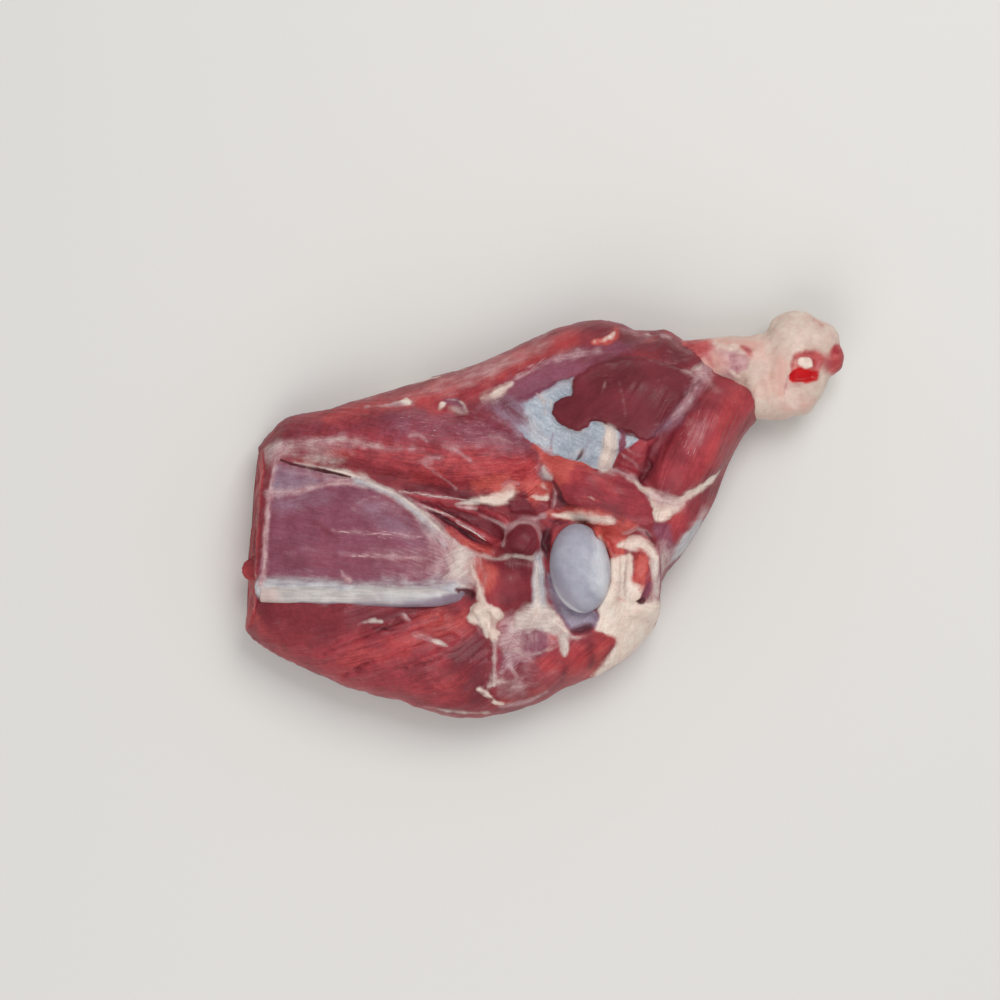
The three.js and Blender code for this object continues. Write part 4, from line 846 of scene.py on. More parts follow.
def soft_max(heights, blend):
    """The largest of several heights, with the valleys where they meet rounded."""
    top = heights[0]
    for height in heights[1:]:
        near = np.maximum(blend - np.abs(top - height), 0) / blend
        top = np.maximum(top, height) + near * near * blend / 4
    return top


def meat_sections(shares, across, top_count, blend):
    """Closed sections of the meat at shares of its length.

    Gives their points, the muscle that each point belongs to, and how far it lies down between two muscles.
    """
    upper = spline([rib[0] for rib in RIBS], shares)
    lower = spline([rib[1] for rib in RIBS], shares)
    half = np.linalg.norm(upper - lower, axis=1)[:, None] / 2
    bed = np.interp(shares * (len(BED_HEIGHTS) - 1), range(len(BED_HEIGHTS)), BED_HEIGHTS)[:, None]
    mix = (across + 1) / 2
    x = lower[:, :1] * (1 - mix) + upper[:, :1] * mix
    y = lower[:, 1:] * (1 - mix) + upper[:, 1:] * mix
    from_side = (1 - np.abs(across)) * half
    domes = muscle_heights(x, y, bed)
    top = soft_max([bed + 0 * x, *domes], blend)
    crown = RIM_HEIGHT + (top - RIM_HEIGHT) * rounded(from_side / np.minimum(EDGE_ROLL, half))
    base = RIM_HEIGHT * (1 - rounded(from_side / np.minimum(UNDER_ROLL, half)))
    z = np.where(np.arange(len(across)) <= top_count, crown, base)
    from_cut = np.linalg.norm(upper - upper[0], axis=1)[:, None]
    cut = np.maximum(1 - from_cut / CUT_REACH, 0) ** 2
    x = x + cut * (CUT_LEAN * np.maximum(z - RIM_HEIGHT, 0) - CUT_BOW * (1 - across**2))
    valley = soft_max([bed + 0 * x, *domes], 6 * blend) - top
    return np.stack([x, y, z], axis=2), domes.argmax(0), valley


def placed(points):
    """Points of the drawing, in the model's frame in metres."""
    moved = np.array(points, float)
    moved[..., :2] += DRAWING_SHIFT
    return moved * MM


def grid_normals(rows):
    """Outward directions at the points of rows that go round."""
    along = np.gradient(rows, axis=0)
    round_it = np.roll(rows, -1, axis=1) - np.roll(rows, 1, axis=1)
    normal = np.cross(round_it, along)
    return normal / np.maximum(np.linalg.norm(normal, axis=2, keepdims=True), 1e-9)


def write_attributes(mesh, factors, grain, strands):
    """Writes mixing factors, and places along grain and strands in millimetres, for a mesh's material."""
    for name, values in factors.items():
        mesh.attributes.new(name, "FLOAT", "POINT").data.foreach_set("value", values.astype(np.float32))
    for name, values in (("grain", grain), ("strand", strands)):
        layer = mesh.attributes.new(name, "FLOAT_VECTOR", "POINT")
        layer.data.foreach_set("vector", values.astype(np.float32).ravel())


def grid_mesh(name, rows, factors, grain, strands):
    """A closed mesh over rows of drawn points that go round, with a middle point that closes each end.

    factors, grain and strands are what its material reads at each point.
    """
    count, around = rows.shape[:2]

    def with_ends(values):
        """Values of the points with the means of the first and the last row."""
        first_row, last_row = values[:around], values[-around:]
        return np.concatenate([values, first_row.mean(0, keepdims=True), last_row.mean(0, keepdims=True)])

    points = with_ends(placed(rows).reshape(-1, 3))
    index = np.arange(count * around).reshape(count, around)
    turned = np.roll(index, -1, axis=1)
    quads = np.stack([index[:-1], turned[:-1], turned[1:], index[1:]], axis=2).reshape(-1, 4)
    first, last = count * around, count * around + 1
    start = np.stack([np.full(around, first), turned[0], index[0]], axis=1)
    end = np.stack([np.full(around, last), index[-1], turned[-1]], axis=1)
    mesh = bpy.data.meshes.new(name)
    mesh.from_pydata(points.tolist(), [], [*quads.tolist(), *start.tolist(), *end.tolist()])
    mesh.update()
    factors = {tissue: with_ends(values) for tissue, values in factors.items()}
    write_attributes(mesh, factors, with_ends(grain), with_ends(strands))
    return mesh


def add_piece(name, mesh, material, node=None):
    """Makes a piece from a mesh, in the model's frame, with its finish and the node that it stands for."""
    mesh.materials.append(material)
    mesh.shade_smooth()
    piece = bpy.data.objects.new(name, mesh)
    bpy.context.scene.collection.objects.link(piece)
    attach(piece, "root")
    if node:
        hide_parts(node)
    return piece


def add_node(tree, kind, settings=(), inputs=()):
    """Adds a node to a tree, sets its values, and fills or links its inputs."""
    node = tree.nodes.new(kind)
    for name, value in dict(settings).items():
        setattr(node, name, value)
    for key, value in dict(inputs).items():
        if isinstance(value, bpy.types.NodeSocket):
            tree.links.new(value, node.inputs[key])
        else:
            node.inputs[key].default_value = value
    return node


class Finish(NamedTuple):
    """A moist tissue's surface: its roughness, relief and unevenness, its shine, wet coat and glow."""

    rough: tuple = (0.4, 0.6)
    ridges: float = 0.1
    pores: float = 0.1
    grit: float = 0.05
    lumps: float = 0.0
    shine: float = 0.3
    wet: float = 0.12
    wet_rough: float = 0.2
    glow: float = 0.1


def tissue_material(name, base, tissues, grain_size, finish):
    """A moist tissue: a base that varies along its grain, with the other tissues laid over it in order.

    base and tissues give deep and bright colours, and grain_size is the length and width of a bundle of
    fibres in millimetres.
    """
    material = bpy.data.materials.new(name)
    material.use_nodes = True
    material.node_tree.nodes.clear()
    add = partial(add_node, material.node_tree)
    grain, strand = (add("ShaderNodeAttribute", {"attribute_name": word}).outputs["Vector"]
                     for word in ("grain", "strand"))
    calm = add("ShaderNodeAttribute", {"attribute_name": "calm"}).outputs["Fac"]
    place = add("ShaderNodeTexCoord").outputs["Object"]
    long, wide = grain_size
    # Real fibres and pores are too fine to show, so bundles and pores of about a millimetre stand for them.
    patterns = {}
    for pattern, source, scale, detail, roughness in (
        ("fibres", grain, (1 / long, 1 / wide, 1.0), 3.0, 0.65),
        ("sparks", grain, (2.6 / long, 1.5 / wide, 1.0), 1.0, 0.5),
        ("strands", strand, (1 / 8, 1 / 1.1, 1.0), 3.0, 0.6),
        ("mottle", place, (1 / (7 * MM),) * 3, 3.0, 0.55),
        ("broad", place, (1 / (15 * MM),) * 3, 2.0, 0.5),
        ("lumps", place, (1 / (2.4 * MM),) * 3, 2.0, 0.5),
        ("fine", place, (1 / (1.0 * MM),) * 3, 3.0, 0.6),
    ):
        scaled = add("ShaderNodeVectorMath", {"operation": "MULTIPLY"}, {0: source, 1: scale}).outputs[0]
        patterns[pattern] = add("ShaderNodeTexNoise", {}, {
            "Vector": scaled, "Scale": 1.0, "Detail": detail, "Roughness": roughness}).outputs["Fac"]
    plain_mix, colour_mix = {"data_type": "FLOAT"}, {"data_type": "RGBA"}
    eased = {"interpolation_type": "SMOOTHSTEP"}
    patterns["streaks"] = patterns["fibres"]
    for pattern, mottled in (("streaks", 0.42), ("strands", 0.5)):
        patterns[pattern] = add("ShaderNodeMix", plain_mix, {
            0: mottled, 2: patterns[pattern], 3: patterns["mottle"]}).outputs[0]
    # The base's tone has streaks and lumps, and is even where the tissue is calm.
    lumps = add("ShaderNodeMath", {"operation": "MULTIPLY_ADD"}, {
        0: patterns["lumps"], 1: finish.lumps, 2: -finish.lumps / 2}).outputs[0]
    lively = add("ShaderNodeMath", {"operation": "ADD"}, {0: patterns["streaks"], 1: lumps}).outputs[0]
    even = add("ShaderNodeMix", plain_mix, {0: 0.4, 2: patterns["broad"], 3: 0.5}).outputs[0]
    tone = add("ShaderNodeMix", plain_mix, {0: calm, 2: lively, 3: even}).outputs[0]
    along_grain = add("ShaderNodeMapRange", eased, {
        "Value": tone, "From Min": 0.35, "From Max": 0.65}).outputs["Result"]
    along_strands = add("ShaderNodeMapRange", eased, {
        "Value": patterns["strands"], "From Min": 0.28, "From Max": 0.72}).outputs["Result"]
    painted = add("ShaderNodeMix", colour_mix, {0: along_grain, 6: base[0], 7: base[1]}).outputs[2]
    # Each tissue's border is broken up by a pattern.
    for tissue, (deep, bright) in tissues.items():
        pattern, reach, low, high = BORDERS[BORDER_OF.get(tissue, "milky")]
        cover = add("ShaderNodeAttribute", {"attribute_name": tissue}).outputs["Fac"]
        breaks = add("ShaderNodeMath", {"operation": "MULTIPLY_ADD"}, {
            0: patterns[pattern], 1: reach, 2: -reach / 2}).outputs[0]
        broken = add("ShaderNodeMath", {"operation": "ADD"}, {0: cover, 1: breaks}).outputs[0]
        factor = add("ShaderNodeMapRange", eased, {
            "Value": broken, "From Min": low, "From Max": high}).outputs["Result"]
        way = along_strands if tissue in PALE_TISSUES else along_grain
        paint = add("ShaderNodeMix", colour_mix, {0: way, 6: deep, 7: bright}).outputs[2]
        painted = add("ShaderNodeMix", colour_mix, {0: factor, 6: painted, 7: paint}).outputs[2]
    # Fine grit in the colour, less of it where the tissue is calm, then the wet skin's fine relief.
    grit = add("ShaderNodeMapRange", {}, {
        "Value": patterns["fine"], "From Min": 0.25, "From Max": 0.75,
        "To Min": 1 - finish.grit, "To Max": 1 + finish.grit}).outputs["Result"]
    damped = add("ShaderNodeMath", {"operation": "MULTIPLY"}, {0: calm, 1: 0.6}).outputs[0]
    grit = add("ShaderNodeMix", plain_mix, {0: damped, 2: grit, 3: 1.0}).outputs[0]
    painted = add("ShaderNodeHueSaturation", {}, {"Value": grit, "Color": painted}).outputs["Color"]
    rough = add("ShaderNodeMapRange", {}, {
        "Value": patterns["fine"], "From Min": 0.3, "From Max": 0.7,
        "To Min": finish.rough[0], "To Max": finish.rough[1]}).outputs["Result"]
    ridges = add("ShaderNodeBump", {}, {
        "Strength": finish.ridges, "Distance": 0.5 * MM, "Height": patterns["fibres"]}).outputs["Normal"]
    pores = add("ShaderNodeBump", {}, {
        "Strength": finish.pores, "Distance": 0.4 * MM, "Height": patterns["fine"],
        "Normal": ridges}).outputs["Normal"]
    shader = add("ShaderNodeBsdfPrincipled", {}, {
        "Base Color": painted,
        "Roughness": rough,
        "Normal": pores,
        "Coat Normal": pores,
        "IOR": 1.4,
        "Specular IOR Level": finish.shine,
        "Coat Weight": finish.wet,
        "Coat Roughness": finish.wet_rough,
        "Subsurface Weight": finish.glow,
        "Subsurface Radius": (1.0, 0.4, 0.3),
        "Subsurface Scale": 1.5 * MM,
    })
    add("ShaderNodeOutputMaterial", {}, {"Surface": shader.outputs["BSDF"]})
    return material


def colour(name, hex_colour, description):
    """A colour that a user may change."""
    return FloatVectorProperty(name=name, description=description, subtype="COLOR", size=4, min=0, max=1,
                               default=linear(hex_colour))


# Each tissue's label, its deep and bright colours, and what it is.
TISSUE_COLOURS = {
    "lean": ("lean", "#7A242E", "#A63C45", "Muscle in bundles of fibres"),
    # Maroon is dark muscle, and also painted shade where the meat lays it in the creases.
    "maroon": ("maroon lean", "#5E1B25", "#782731", "Dark muscle, with painted shade in the creases between muscles"),
    "fresh": ("fresh lean", "#95282F", "#BC4749", "Muscle that was cut last"),
    "orange": ("orange lean", "#A83A37", "#C85C54", "Muscle with fat in it"),
    "mauve": ("membrane", "#743648", "#8A4D60", "Muscle seen through a tight membrane"),
    "film": ("film", "#A17077", "#CBABAB", "Loose milky film"),
    # Painted highlights: glints of wet light, with some torn bits of film.
    "glint": ("painted glints", "#A8747C", "#C9A6A8", "Painted glints of wet light, with torn bits of film"),
    "silver": ("silverskin", "#8E95A2", "#BCC3CB", "Silverskin over dark muscle"),
    "sheen": ("sheen", "#A39FA6", "#C6C3C4", "Thick bluish film"),
    # Painted shade on the border's lower side.
    "dusk": ("painted border shade", "#756070", "#928391", "Painted shade on the lower side of the blade's border"),
    "shade": ("capsule", "#857889", "#A093A4", "Thin grey sheath over dark tissue"),
    "tendon": ("tendon", "#B5A19B", "#D8CAC1", "Tendon"),
    "fat": ("fat", "#D4B9AC", "#E6D8CC", "Fat, with a little blood where it is deep"),
    # Painted shade: the dark of crevices, slits and holes between muscles.
    "gap": ("gap", "#45181F", "#622A33", "Painted shade in crevices, slits and holes between muscles"),
    "bone": ("bone", "#C9AFA2", "#D5C2B4", "Scraped bone"),
    "rosy": ("rosy bone", "#CF958A", "#D6AA9E", "Bone and tendon with blood in them"),
    "veil": ("veil", "#A87078", "#C79C9B", "Thin tissue on the bone's shaft"),
    "flesh": ("raw bone", "#9C3038", "#BF5A59", "Raw spots where tissue was torn from bone"),
    "marrow": ("marrow", "#AE0008", "#BE000A", "Red marrow"),
    "cartilage": ("cartilage", "#9796A4", "#A8A7B3", "Cartilage of the joint ball"),
    # Painted light: the ball's bright side and ridge, and its pale rim.
    "pearl": ("painted lit cartilage", "#BFC0C8", "#CFD0D4", "Painted light on the ball's bright side and ridge, and its pale rim"),
    "skin": ("bone skin", "#ABA3A1", "#CBC6C2", "Skin of the blade's border"),
}


class ForelegColours(bpy.types.PropertyGroup):
    """Colours of the foreleg's tissues, deep and bright."""

    __annotations__ = {
        f"{tissue}_{tone}": colour(f"{tone.capitalize()} {label}", hex_colour, f"{text}, {tone} part")
        for tissue, (label, deep, bright, text) in TISSUE_COLOURS.items()
        for tone, hex_colour in (("deep", deep), ("bright", bright))
    }


class ForelegSizes(bpy.types.PropertyGroup):
    """Sizes of the foreleg's fine form."""

    stations: IntProperty(
        name="Stations", description="Sections along the meat", default=326, min=40, max=600)
    top_points: IntProperty(
        name="Top points", description="Points across the meat's top", default=240, min=40, max=500)
    under_points: IntProperty(
        name="Under points", description="Points across its underside", default=30, min=8, max=200)
    crease: FloatProperty(
        name="Crease", description="Rounding of the valley between two muscles",
        default=2 * MM, unit="LENGTH")
    bundle_depth: FloatProperty(
        name="Bundle depth", description="Depth of the grooves between bundles of fibres",
        default=0.22 * MM, unit="LENGTH")
    bundle_width: FloatProperty(
        name="Bundle width", description="Width of a bundle of fibres", default=1.9 * MM, unit="LENGTH")
    bone_grain: FloatProperty(
        name="Bone mesh", description="Size of a face of the knuckle's mesh", default=0.9 * MM, unit="LENGTH")


class ForelegStage(bpy.types.PropertyGroup):
    """Camera, floor and lights."""

    span: FloatProperty(
        name="Span", description="Width of the view at the leg's side", default=0.5, unit="LENGTH")
    height: FloatProperty(
        name="Camera height", description="Height of the camera", default=2.0, unit="LENGTH")
    key: FloatProperty(
        name="Key light", description="Power of the main light", default=12.0, unit="POWER")
    fill: FloatProperty(
        name="Fill light", description="Power of the light from the other side", default=7.5, unit="POWER")
    sky: FloatProperty(name="Surroundings", description="Strength of the light from all round", default=0.5)
    floor: colour("Floor", "#D8D6D2", "Plain pale floor")


class ForelegSettings(bpy.types.PropertyGroup):
    """All settings of the foreleg."""

    colours: PointerProperty(type=ForelegColours)
    sizes: PointerProperty(type=ForelegSizes)
    stage: PointerProperty(type=ForelegStage)


def pairs(colours, names):
    """Deep and bright colours of tissues."""
    return {name: (getattr(colours, name + "_deep"), getattr(colours, name + "_bright")) for name in names}


# Raw muscle cut and torn from its sheath: moist, so it shows soft broad highlights over fine fibres.
def raw_lean(colours):
    finish = Finish(ridges=0.25, pores=0.3, grit=0.26, lumps=0.36, wet=0.14, glow=0.06)
    tissues = pairs(colours, ("lean", *MEAT_TISSUES))
    return tissue_material("Raw lean", tissues.pop("lean"), tissues, (11, 0.9), finish)


# Bone with its thin skin scraped bare: matt cream with a damp shine, rosy where blood stays in it.
def damp_bone(colours):
    finish = Finish(pores=0.14, lumps=0.12)
    tissues = pairs(colours, ("bone", "veil", "rosy", "flesh", "marrow", "fat"))
    tissues["chip"] = tissues.pop("fat")
    return tissue_material("Damp bone", tissues.pop("bone"), tissues, (6, 5), finish)


# Joint cartilage: smooth, blue-grey and wet, with light that sinks in a little; its lit side and ridge are
# painted paler.
def wet_cartilage(colours):
    finish = Finish(rough=(0.36, 0.46), ridges=0.03, pores=0.03, grit=0.02, glow=0.15)
    tissues = pairs(colours, ("cartilage", *BALL_TISSUES))
    return tissue_material("Wet cartilage", tissues.pop("cartilage"), tissues, (12, 12), finish)


# The skin of the bone along the blade's border: pale, tight and wet, with painted shade on its lower side.
def wet_bone_skin(colours):
    finish = Finish(rough=(0.3, 0.42), pores=0.08, shine=0.4, wet=0.2)
    tissues = pairs(colours, ("skin", *BORDER_TISSUES))
    return tissue_material("Wet bone skin", tissues.pop("skin"), tissues, (20, 1.5), finish)


# Threads and torn bits of membrane: white where they bunch up.
def torn_membrane(colours):
    finish = Finish(rough=(0.35, 0.5), grit=0.1, shine=0.4, wet=0.2)
    return tissue_material("Torn membrane", (colours.film_deep, colours.tendon_bright), {}, (4, 0.5), finish)


class FORELEG_OT_add_meat(bpy.types.Operator):
    """Adds the meat: its muscles with their creases, fibres, fat, tendons and membranes"""

    bl_idname = "foreleg.add_meat"
    bl_label = "Add meat"

    # Rings that close the two ends, how far points crowd to the sides, and steps that measure the length.
    CUT_RINGS = 36
    END_RINGS = 5
    EDGE_CROWDING = 0.15
    LENGTH_STEPS = 800
    # How far down between two muscles the crease is full and painted maroon as shade, and how deep it is
    # drawn in.
    CREASE_FULL_AT = 2.2
    CREASE_DEPTH = 1.2
    # The hood of tissue over the joint ball: its middle and half its spread, in radians round the ball.
    HOOD_AT = 0.78
    HOOD_REACH = 0.8
    # The skin's highest place at the ball's rim, over the ball's middle, and how it changes with each radius.
    RIM_RISE = 3
    HOOD_RISE = 5
    OUTER_SLOPE = 18
    SOCKET_SLOPE = 80
    HOOD_EASING = 58
    # The lap of the hood on the ball in the same way, and how far it drops where the hood ends.
    LAP_RISE = 9
    LAP_SLOPE = 30
    LAP_DROP = 40
    # The bottom of the ball's socket over the floor, and the rounding of its rim.
    SOCKET_FLOOR = 30
    SOCKET_ROUNDING = 2.5

    def rows(self, sizes):
        """Points of the skin in rows from the cut's middle to the shank end, with what they lie on."""
        top, under = sizes.top_points, sizes.under_points
        step = np.arange(top + 1) / top
        crown = self.EDGE_CROWDING * np.cos(np.pi * step) + (1 - self.EDGE_CROWDING) * (1 - 2 * step)
        across = np.concatenate([crown, -np.cos(np.pi * np.arange(1, under) / under)])
        fine = np.linspace(0, 1, self.LENGTH_STEPS)
        middle = (spline([rib[0] for rib in RIBS], fine) + spline([rib[1] for rib in RIBS], fine)) / 2
        run = np.concatenate([[0], np.cumsum(np.linalg.norm(np.diff(middle, axis=0), axis=1))])
        shares = np.interp(np.linspace(0, run[-1], sizes.stations), run, fine)
        sections, muscle, valley = meat_sections(shares, across, top, sizes.crease / MM)
        cut = [self.shrunk(sections[0], ring / self.CUT_RINGS) for ring in range(1, self.CUT_RINGS)]
        end = [self.shrunk(sections[-1], ring / self.END_RINGS) for ring in range(self.END_RINGS - 1, 0, -1)]
        rows = np.concatenate([cut, sections, end])
        self.raise_flap(rows)
        repeats = [len(cut) + 1] + [1] * (sizes.stations - 2) + [len(end) + 1]
        return rows, np.repeat(muscle, repeats, 0).ravel(), np.repeat(valley, repeats, 0).ravel()

    @staticmethod
    def raise_flap(rows):
        """Pushes the cut out to the small flap of meat that hangs over it."""
        at, radii = CUT_FLAP
        x, y, z = (rows[..., k] for k in range(3))
        outwards = ((y - at[1]) / radii[1]) ** 2 + ((z - at[2]) / radii[2]) ** 2
        front = at[0] - radii[0] * np.sqrt(np.maximum(1 - outwards, 0))
        covered = (outwards < 1) & (x < at[0] + radii[0])
        rows[..., 0] = np.where(covered, np.minimum(x, front), x)

    @staticmethod
    def shrunk(section, share):
        """A section drawn in to a share of its size."""
        middle = section.mean(0)
        return middle + (section - middle) * share

    def execute(self, context):
        settings = context.scene.foreleg
        sizes = settings.sizes
        rows, muscle, valley = self.rows(sizes)
        count, around = rows.shape[:2]
        top = sizes.top_points
        x, y, z = (rows[..., k].ravel() for k in range(3))
        on_cut = np.repeat(np.arange(count), around) < self.CUT_RINGS - 1
        is_top = np.tile(np.arange(around) <= top, count)
        normals = grid_normals(rows)

        # The grain follows each muscle's fibres over the skin, laid flat from the middle of the top.
        steps = np.linalg.norm(np.diff(rows, axis=1, append=rows[:, :1]), axis=2)
        run = np.cumsum(steps, axis=1) - steps
        unrolled = (run[:, top // 2:top // 2 + 1] - run).ravel()
        angle = np.radians([m.fibre for m in MUSCLES.values()])[muscle]
        along = x * np.cos(angle) + unrolled * np.sin(angle)
        beside = unrolled * np.cos(angle) - x * np.sin(angle)
        apart = muscle * MUSCLES_APART
        grain = np.stack([along, beside, apart], axis=1)
        strands = grain.copy()

        # Patches are given by their sizes in millimetres and a seed, here and below.
        shares = no_tissue(MEAT_TISSUES, len(x))
        crease = smooth(valley / self.CREASE_FULL_AT)
        shares["fresh"] = 0.6 * smooth(0.9 * cloud(along / 30, beside / 11 + apart, 76))
        shares["film"] = 0.2 * smooth(0.9 * cloud(along / 18, beside / 6 + apart, 77))
        # Maroon in the creases between muscles is painted shade, full where the crease is full.
        shares["maroon"] = 0.5 * crease * (1 - shares["fresh"] - shares["film"])
        relief = lay_tissue(MEAT_FEATURES, shares, x, y, strands) - self.CREASE_DEPTH * crease
        # Tissue fades out where the skin turns down at its sides. The cut and the underside have their own.
        level = smooth((normals[..., 2].ravel() + 0.02) / 0.25)
        fade = np.where(is_top, level, 0) * np.where(on_cut, 0, 1)
        for name in MEAT_TISSUES:
            shares[name] *= fade
        relief *= fade
        self.paint_cut(shares, on_cut, y, z)
        self.paint_underside(shares, fade, on_cut, x, unrolled)

        # Bundles of fibres, broad unevenness and the grains of fat stand out a little.
        width = sizes.bundle_width / MM
        bundles = cloud(along / 16, beside / width + apart, 71)
        bundles += 0.6 * cloud(along / 9, beside / (0.5 * width) + apart, 72)
        relief += sizes.bundle_depth / MM * bundles * (1 - shares["fat"] - shares["gap"])
        relief += 0.5 * cloud(x / 9, unrolled / 9, 73) + 0.9 * cloud(x / 24, unrolled / 24, 74)
        relief += 0.4 * shares["fat"] * cloud(x / 3, unrolled / 3, 75)
        moved = self.below_ball(rows + normals * relief.reshape(count, around, 1))
        moved[..., 2] = np.maximum(moved[..., 2], 0)

        factors = cover_factors(shares, MEAT_TISSUES)
        factors["calm"] = np.array([m.calm for m in MUSCLES.values()])[muscle]
        for name, value in CALM_OF.items():
            factors["calm"] += shares[name] * (value - factors["calm"])
        mesh = grid_mesh("meat_skin", moved, factors, grain, strands)
        add_piece("meat_skin", mesh, raw_lean(settings.colours), "meat")
        return {"FINISHED"}

    def below_ball(self, points):
        """Points of the skin lowered to pass under the joint ball, but for a hood at its upper right."""
        angle = math.radians(BALL_TURN)
        right, up = points[..., 0] - BALL_AT[0], points[..., 1] - BALL_AT[1]
        wide = (right * math.cos(angle) + up * math.sin(angle)) / BALL_RADII[0]
        tall = (up * math.cos(angle) - right * math.sin(angle)) / BALL_RADII[1]
        outwards = np.hypot(wide, tall) - 1
        outside, inside = np.maximum(outwards, 0), np.maximum(-outwards, 0)
        hood = smooth(1 - np.abs(np.arctan2(tall, wide) - self.HOOD_AT) / self.HOOD_REACH)
        limit = BALL_AT[2] + self.RIM_RISE + self.HOOD_RISE * hood + self.OUTER_SLOPE * outside
        limit = np.maximum(limit - (self.SOCKET_SLOPE - self.HOOD_EASING * hood) * inside, self.SOCKET_FLOOR)
        lap = BALL_AT[2] + self.LAP_RISE - self.LAP_SLOPE * np.abs(outwards) - self.LAP_DROP * (1 - hood)
        height = -soft_max([-points[..., 2], -limit], self.SOCKET_ROUNDING)
        points[..., 2] = np.where(height > self.SOCKET_FLOOR, np.maximum(height, lap), height)
        return points

    @staticmethod
    def paint_cut(shares, on_cut, y, z):
        """The cut across the shoulder: fresh lean in bundles with pale seams."""
        seams = 1 - smooth(np.abs(cloud(y / 24, z / 17, 81) + 0.25 * cloud(y / 7, z / 7, 82)) / 0.13)
        for name, cover in (
            ("fresh", 0.5 + 0.4 * cloud(y / 20, z / 14, 83)),
            ("maroon", 0.4 * smooth(cloud(y / 15, z / 11, 85))),
            ("film", 0.55 * seams * smooth(0.6 + cloud(y / 12, z / 12, 84))),
        ):
            shares[name] = np.where(on_cut, cover, shares[name])

    @staticmethod
    def paint_underside(shares, fade, on_cut, x, unrolled):
        """The leg's outer side: lean with patches of its thin sheath and of fat."""
        hidden = (1 - fade) * np.where(on_cut, 0, 1)
        sheath = smooth(cloud(x / 38, unrolled / 26, 91) + 0.5 * cloud(x / 9, unrolled / 9, 92) + 0.3)
        patch = smooth(2.2 * (cloud(x / 46, unrolled / 30, 93) + 0.45 * cloud(x / 8, unrolled / 8, 94)) - 0.3)
        shares["mauve"] += hidden * 0.7 * (1 - sheath)
        shares["film"] += hidden * 0.5 * sheath * (1 - patch)
        shares["fat"] += hidden * 0.85 * patch * sheath


class FORELEG_OT_add_shank_bone(bpy.types.Operator):
    """Adds the bone of the shank with its knuckle and the marrow that shows in it"""

    bl_idname = "foreleg.add_shank_bone"
    bl_label = "Add shank bone"

    EASING = 0.6
    EASING_STEPS = 22
    # Raw spots, marrow and chips show above this height and are full a little higher.
    BARE_ABOVE = 16
    BARE_FADE = 8

    def execute(self, context):
        settings = context.scene.foreleg
        mesh = self.one_skin(context, settings.sizes.bone_grain)
        points = np.empty(len(mesh.vertices) * 3)
        normals = np.empty(len(mesh.vertices) * 3)
        mesh.vertices.foreach_get("co", points)
        mesh.vertices.foreach_get("normal", normals)
        points, normals = points.reshape(-1, 3), normals.reshape(-1, 3)
        drawn = points / MM
        x, y, z = drawn[:, 0] - DRAWING_SHIFT[0], drawn[:, 1] - DRAWING_SHIFT[1], drawn[:, 2]
        shares = no_tissue(BONE_TISSUES, len(x))
        shares["rosy"] = 0.4 * smooth(cloud(x / 8 + z / 9, y / 8 - z / 9, 63))
        grain = np.stack([x, y, z / GRAIN_HEIGHT], axis=1)
        strands = grain.copy()
        relief = lay_tissue(BONE_FEATURES, shares, x, y, strands)
        upper = smooth((z - self.BARE_ABOVE) / self.BARE_FADE)
        for name in ("flesh", "marrow", "chip"):
            shares[name] *= upper
        relief *= upper
        bumps = 0.6 * cloud(x / 7 + z / 9, y / 7 - z / 8, 61)
        bumps += 0.25 * cloud(x / 2.5 + z / 3, y / 2.5 - z / 3, 62)
        relief += bumps
        moved = points + normals * (relief * MM)[:, None]
        mesh.vertices.foreach_set("co", moved.ravel())
        write_attributes(mesh, cover_factors(shares, BONE_TISSUES), grain, strands)
        add_piece("knuckle_bone", mesh, damp_bone(settings.colours), "shank_bone")
        return {"FINISHED"}

    def one_skin(self, context, face_size):
        """The shaft and the knuckle's masses under one smooth skin."""
        form = bmesh.new()
        for at, radii in KNUCKLE:
            shape = Matrix.Translation(placed(np.array(at))) @ Matrix.Diagonal((*(r * MM for r in radii), 1))
            bmesh.ops.create_icosphere(form, subdivisions=4, radius=1, matrix=shape)
        start, length, radius, flare = SHAFT
        tilt = Matrix.Rotation(math.pi / 2, 4, "Y")
        middle = Matrix.Translation(placed(np.array(start)) + np.array((length / 2 * MM, 0, 0)))
        bmesh.ops.create_cone(form, cap_ends=True, segments=48, depth=length * MM, radius1=radius * MM,
                              radius2=(radius + flare) * MM, matrix=middle @ tilt)
        rough = bpy.data.meshes.new("knuckle_rough")
        form.to_mesh(rough)
        form.free()
        holder = bpy.data.objects.new("knuckle_rough", rough)
        context.scene.collection.objects.link(holder)
        remesh = holder.modifiers.new("one skin", "REMESH")
        remesh.mode = "VOXEL"
        remesh.voxel_size = face_size
        ease = holder.modifiers.new("ease", "SMOOTH")
        ease.factor = self.EASING
        ease.iterations = self.EASING_STEPS
        mesh = bpy.data.meshes.new_from_object(holder.evaluated_get(context.evaluated_depsgraph_get()))
        bpy.data.objects.remove(holder)
        mesh.name = "knuckle_bone"
        return mesh


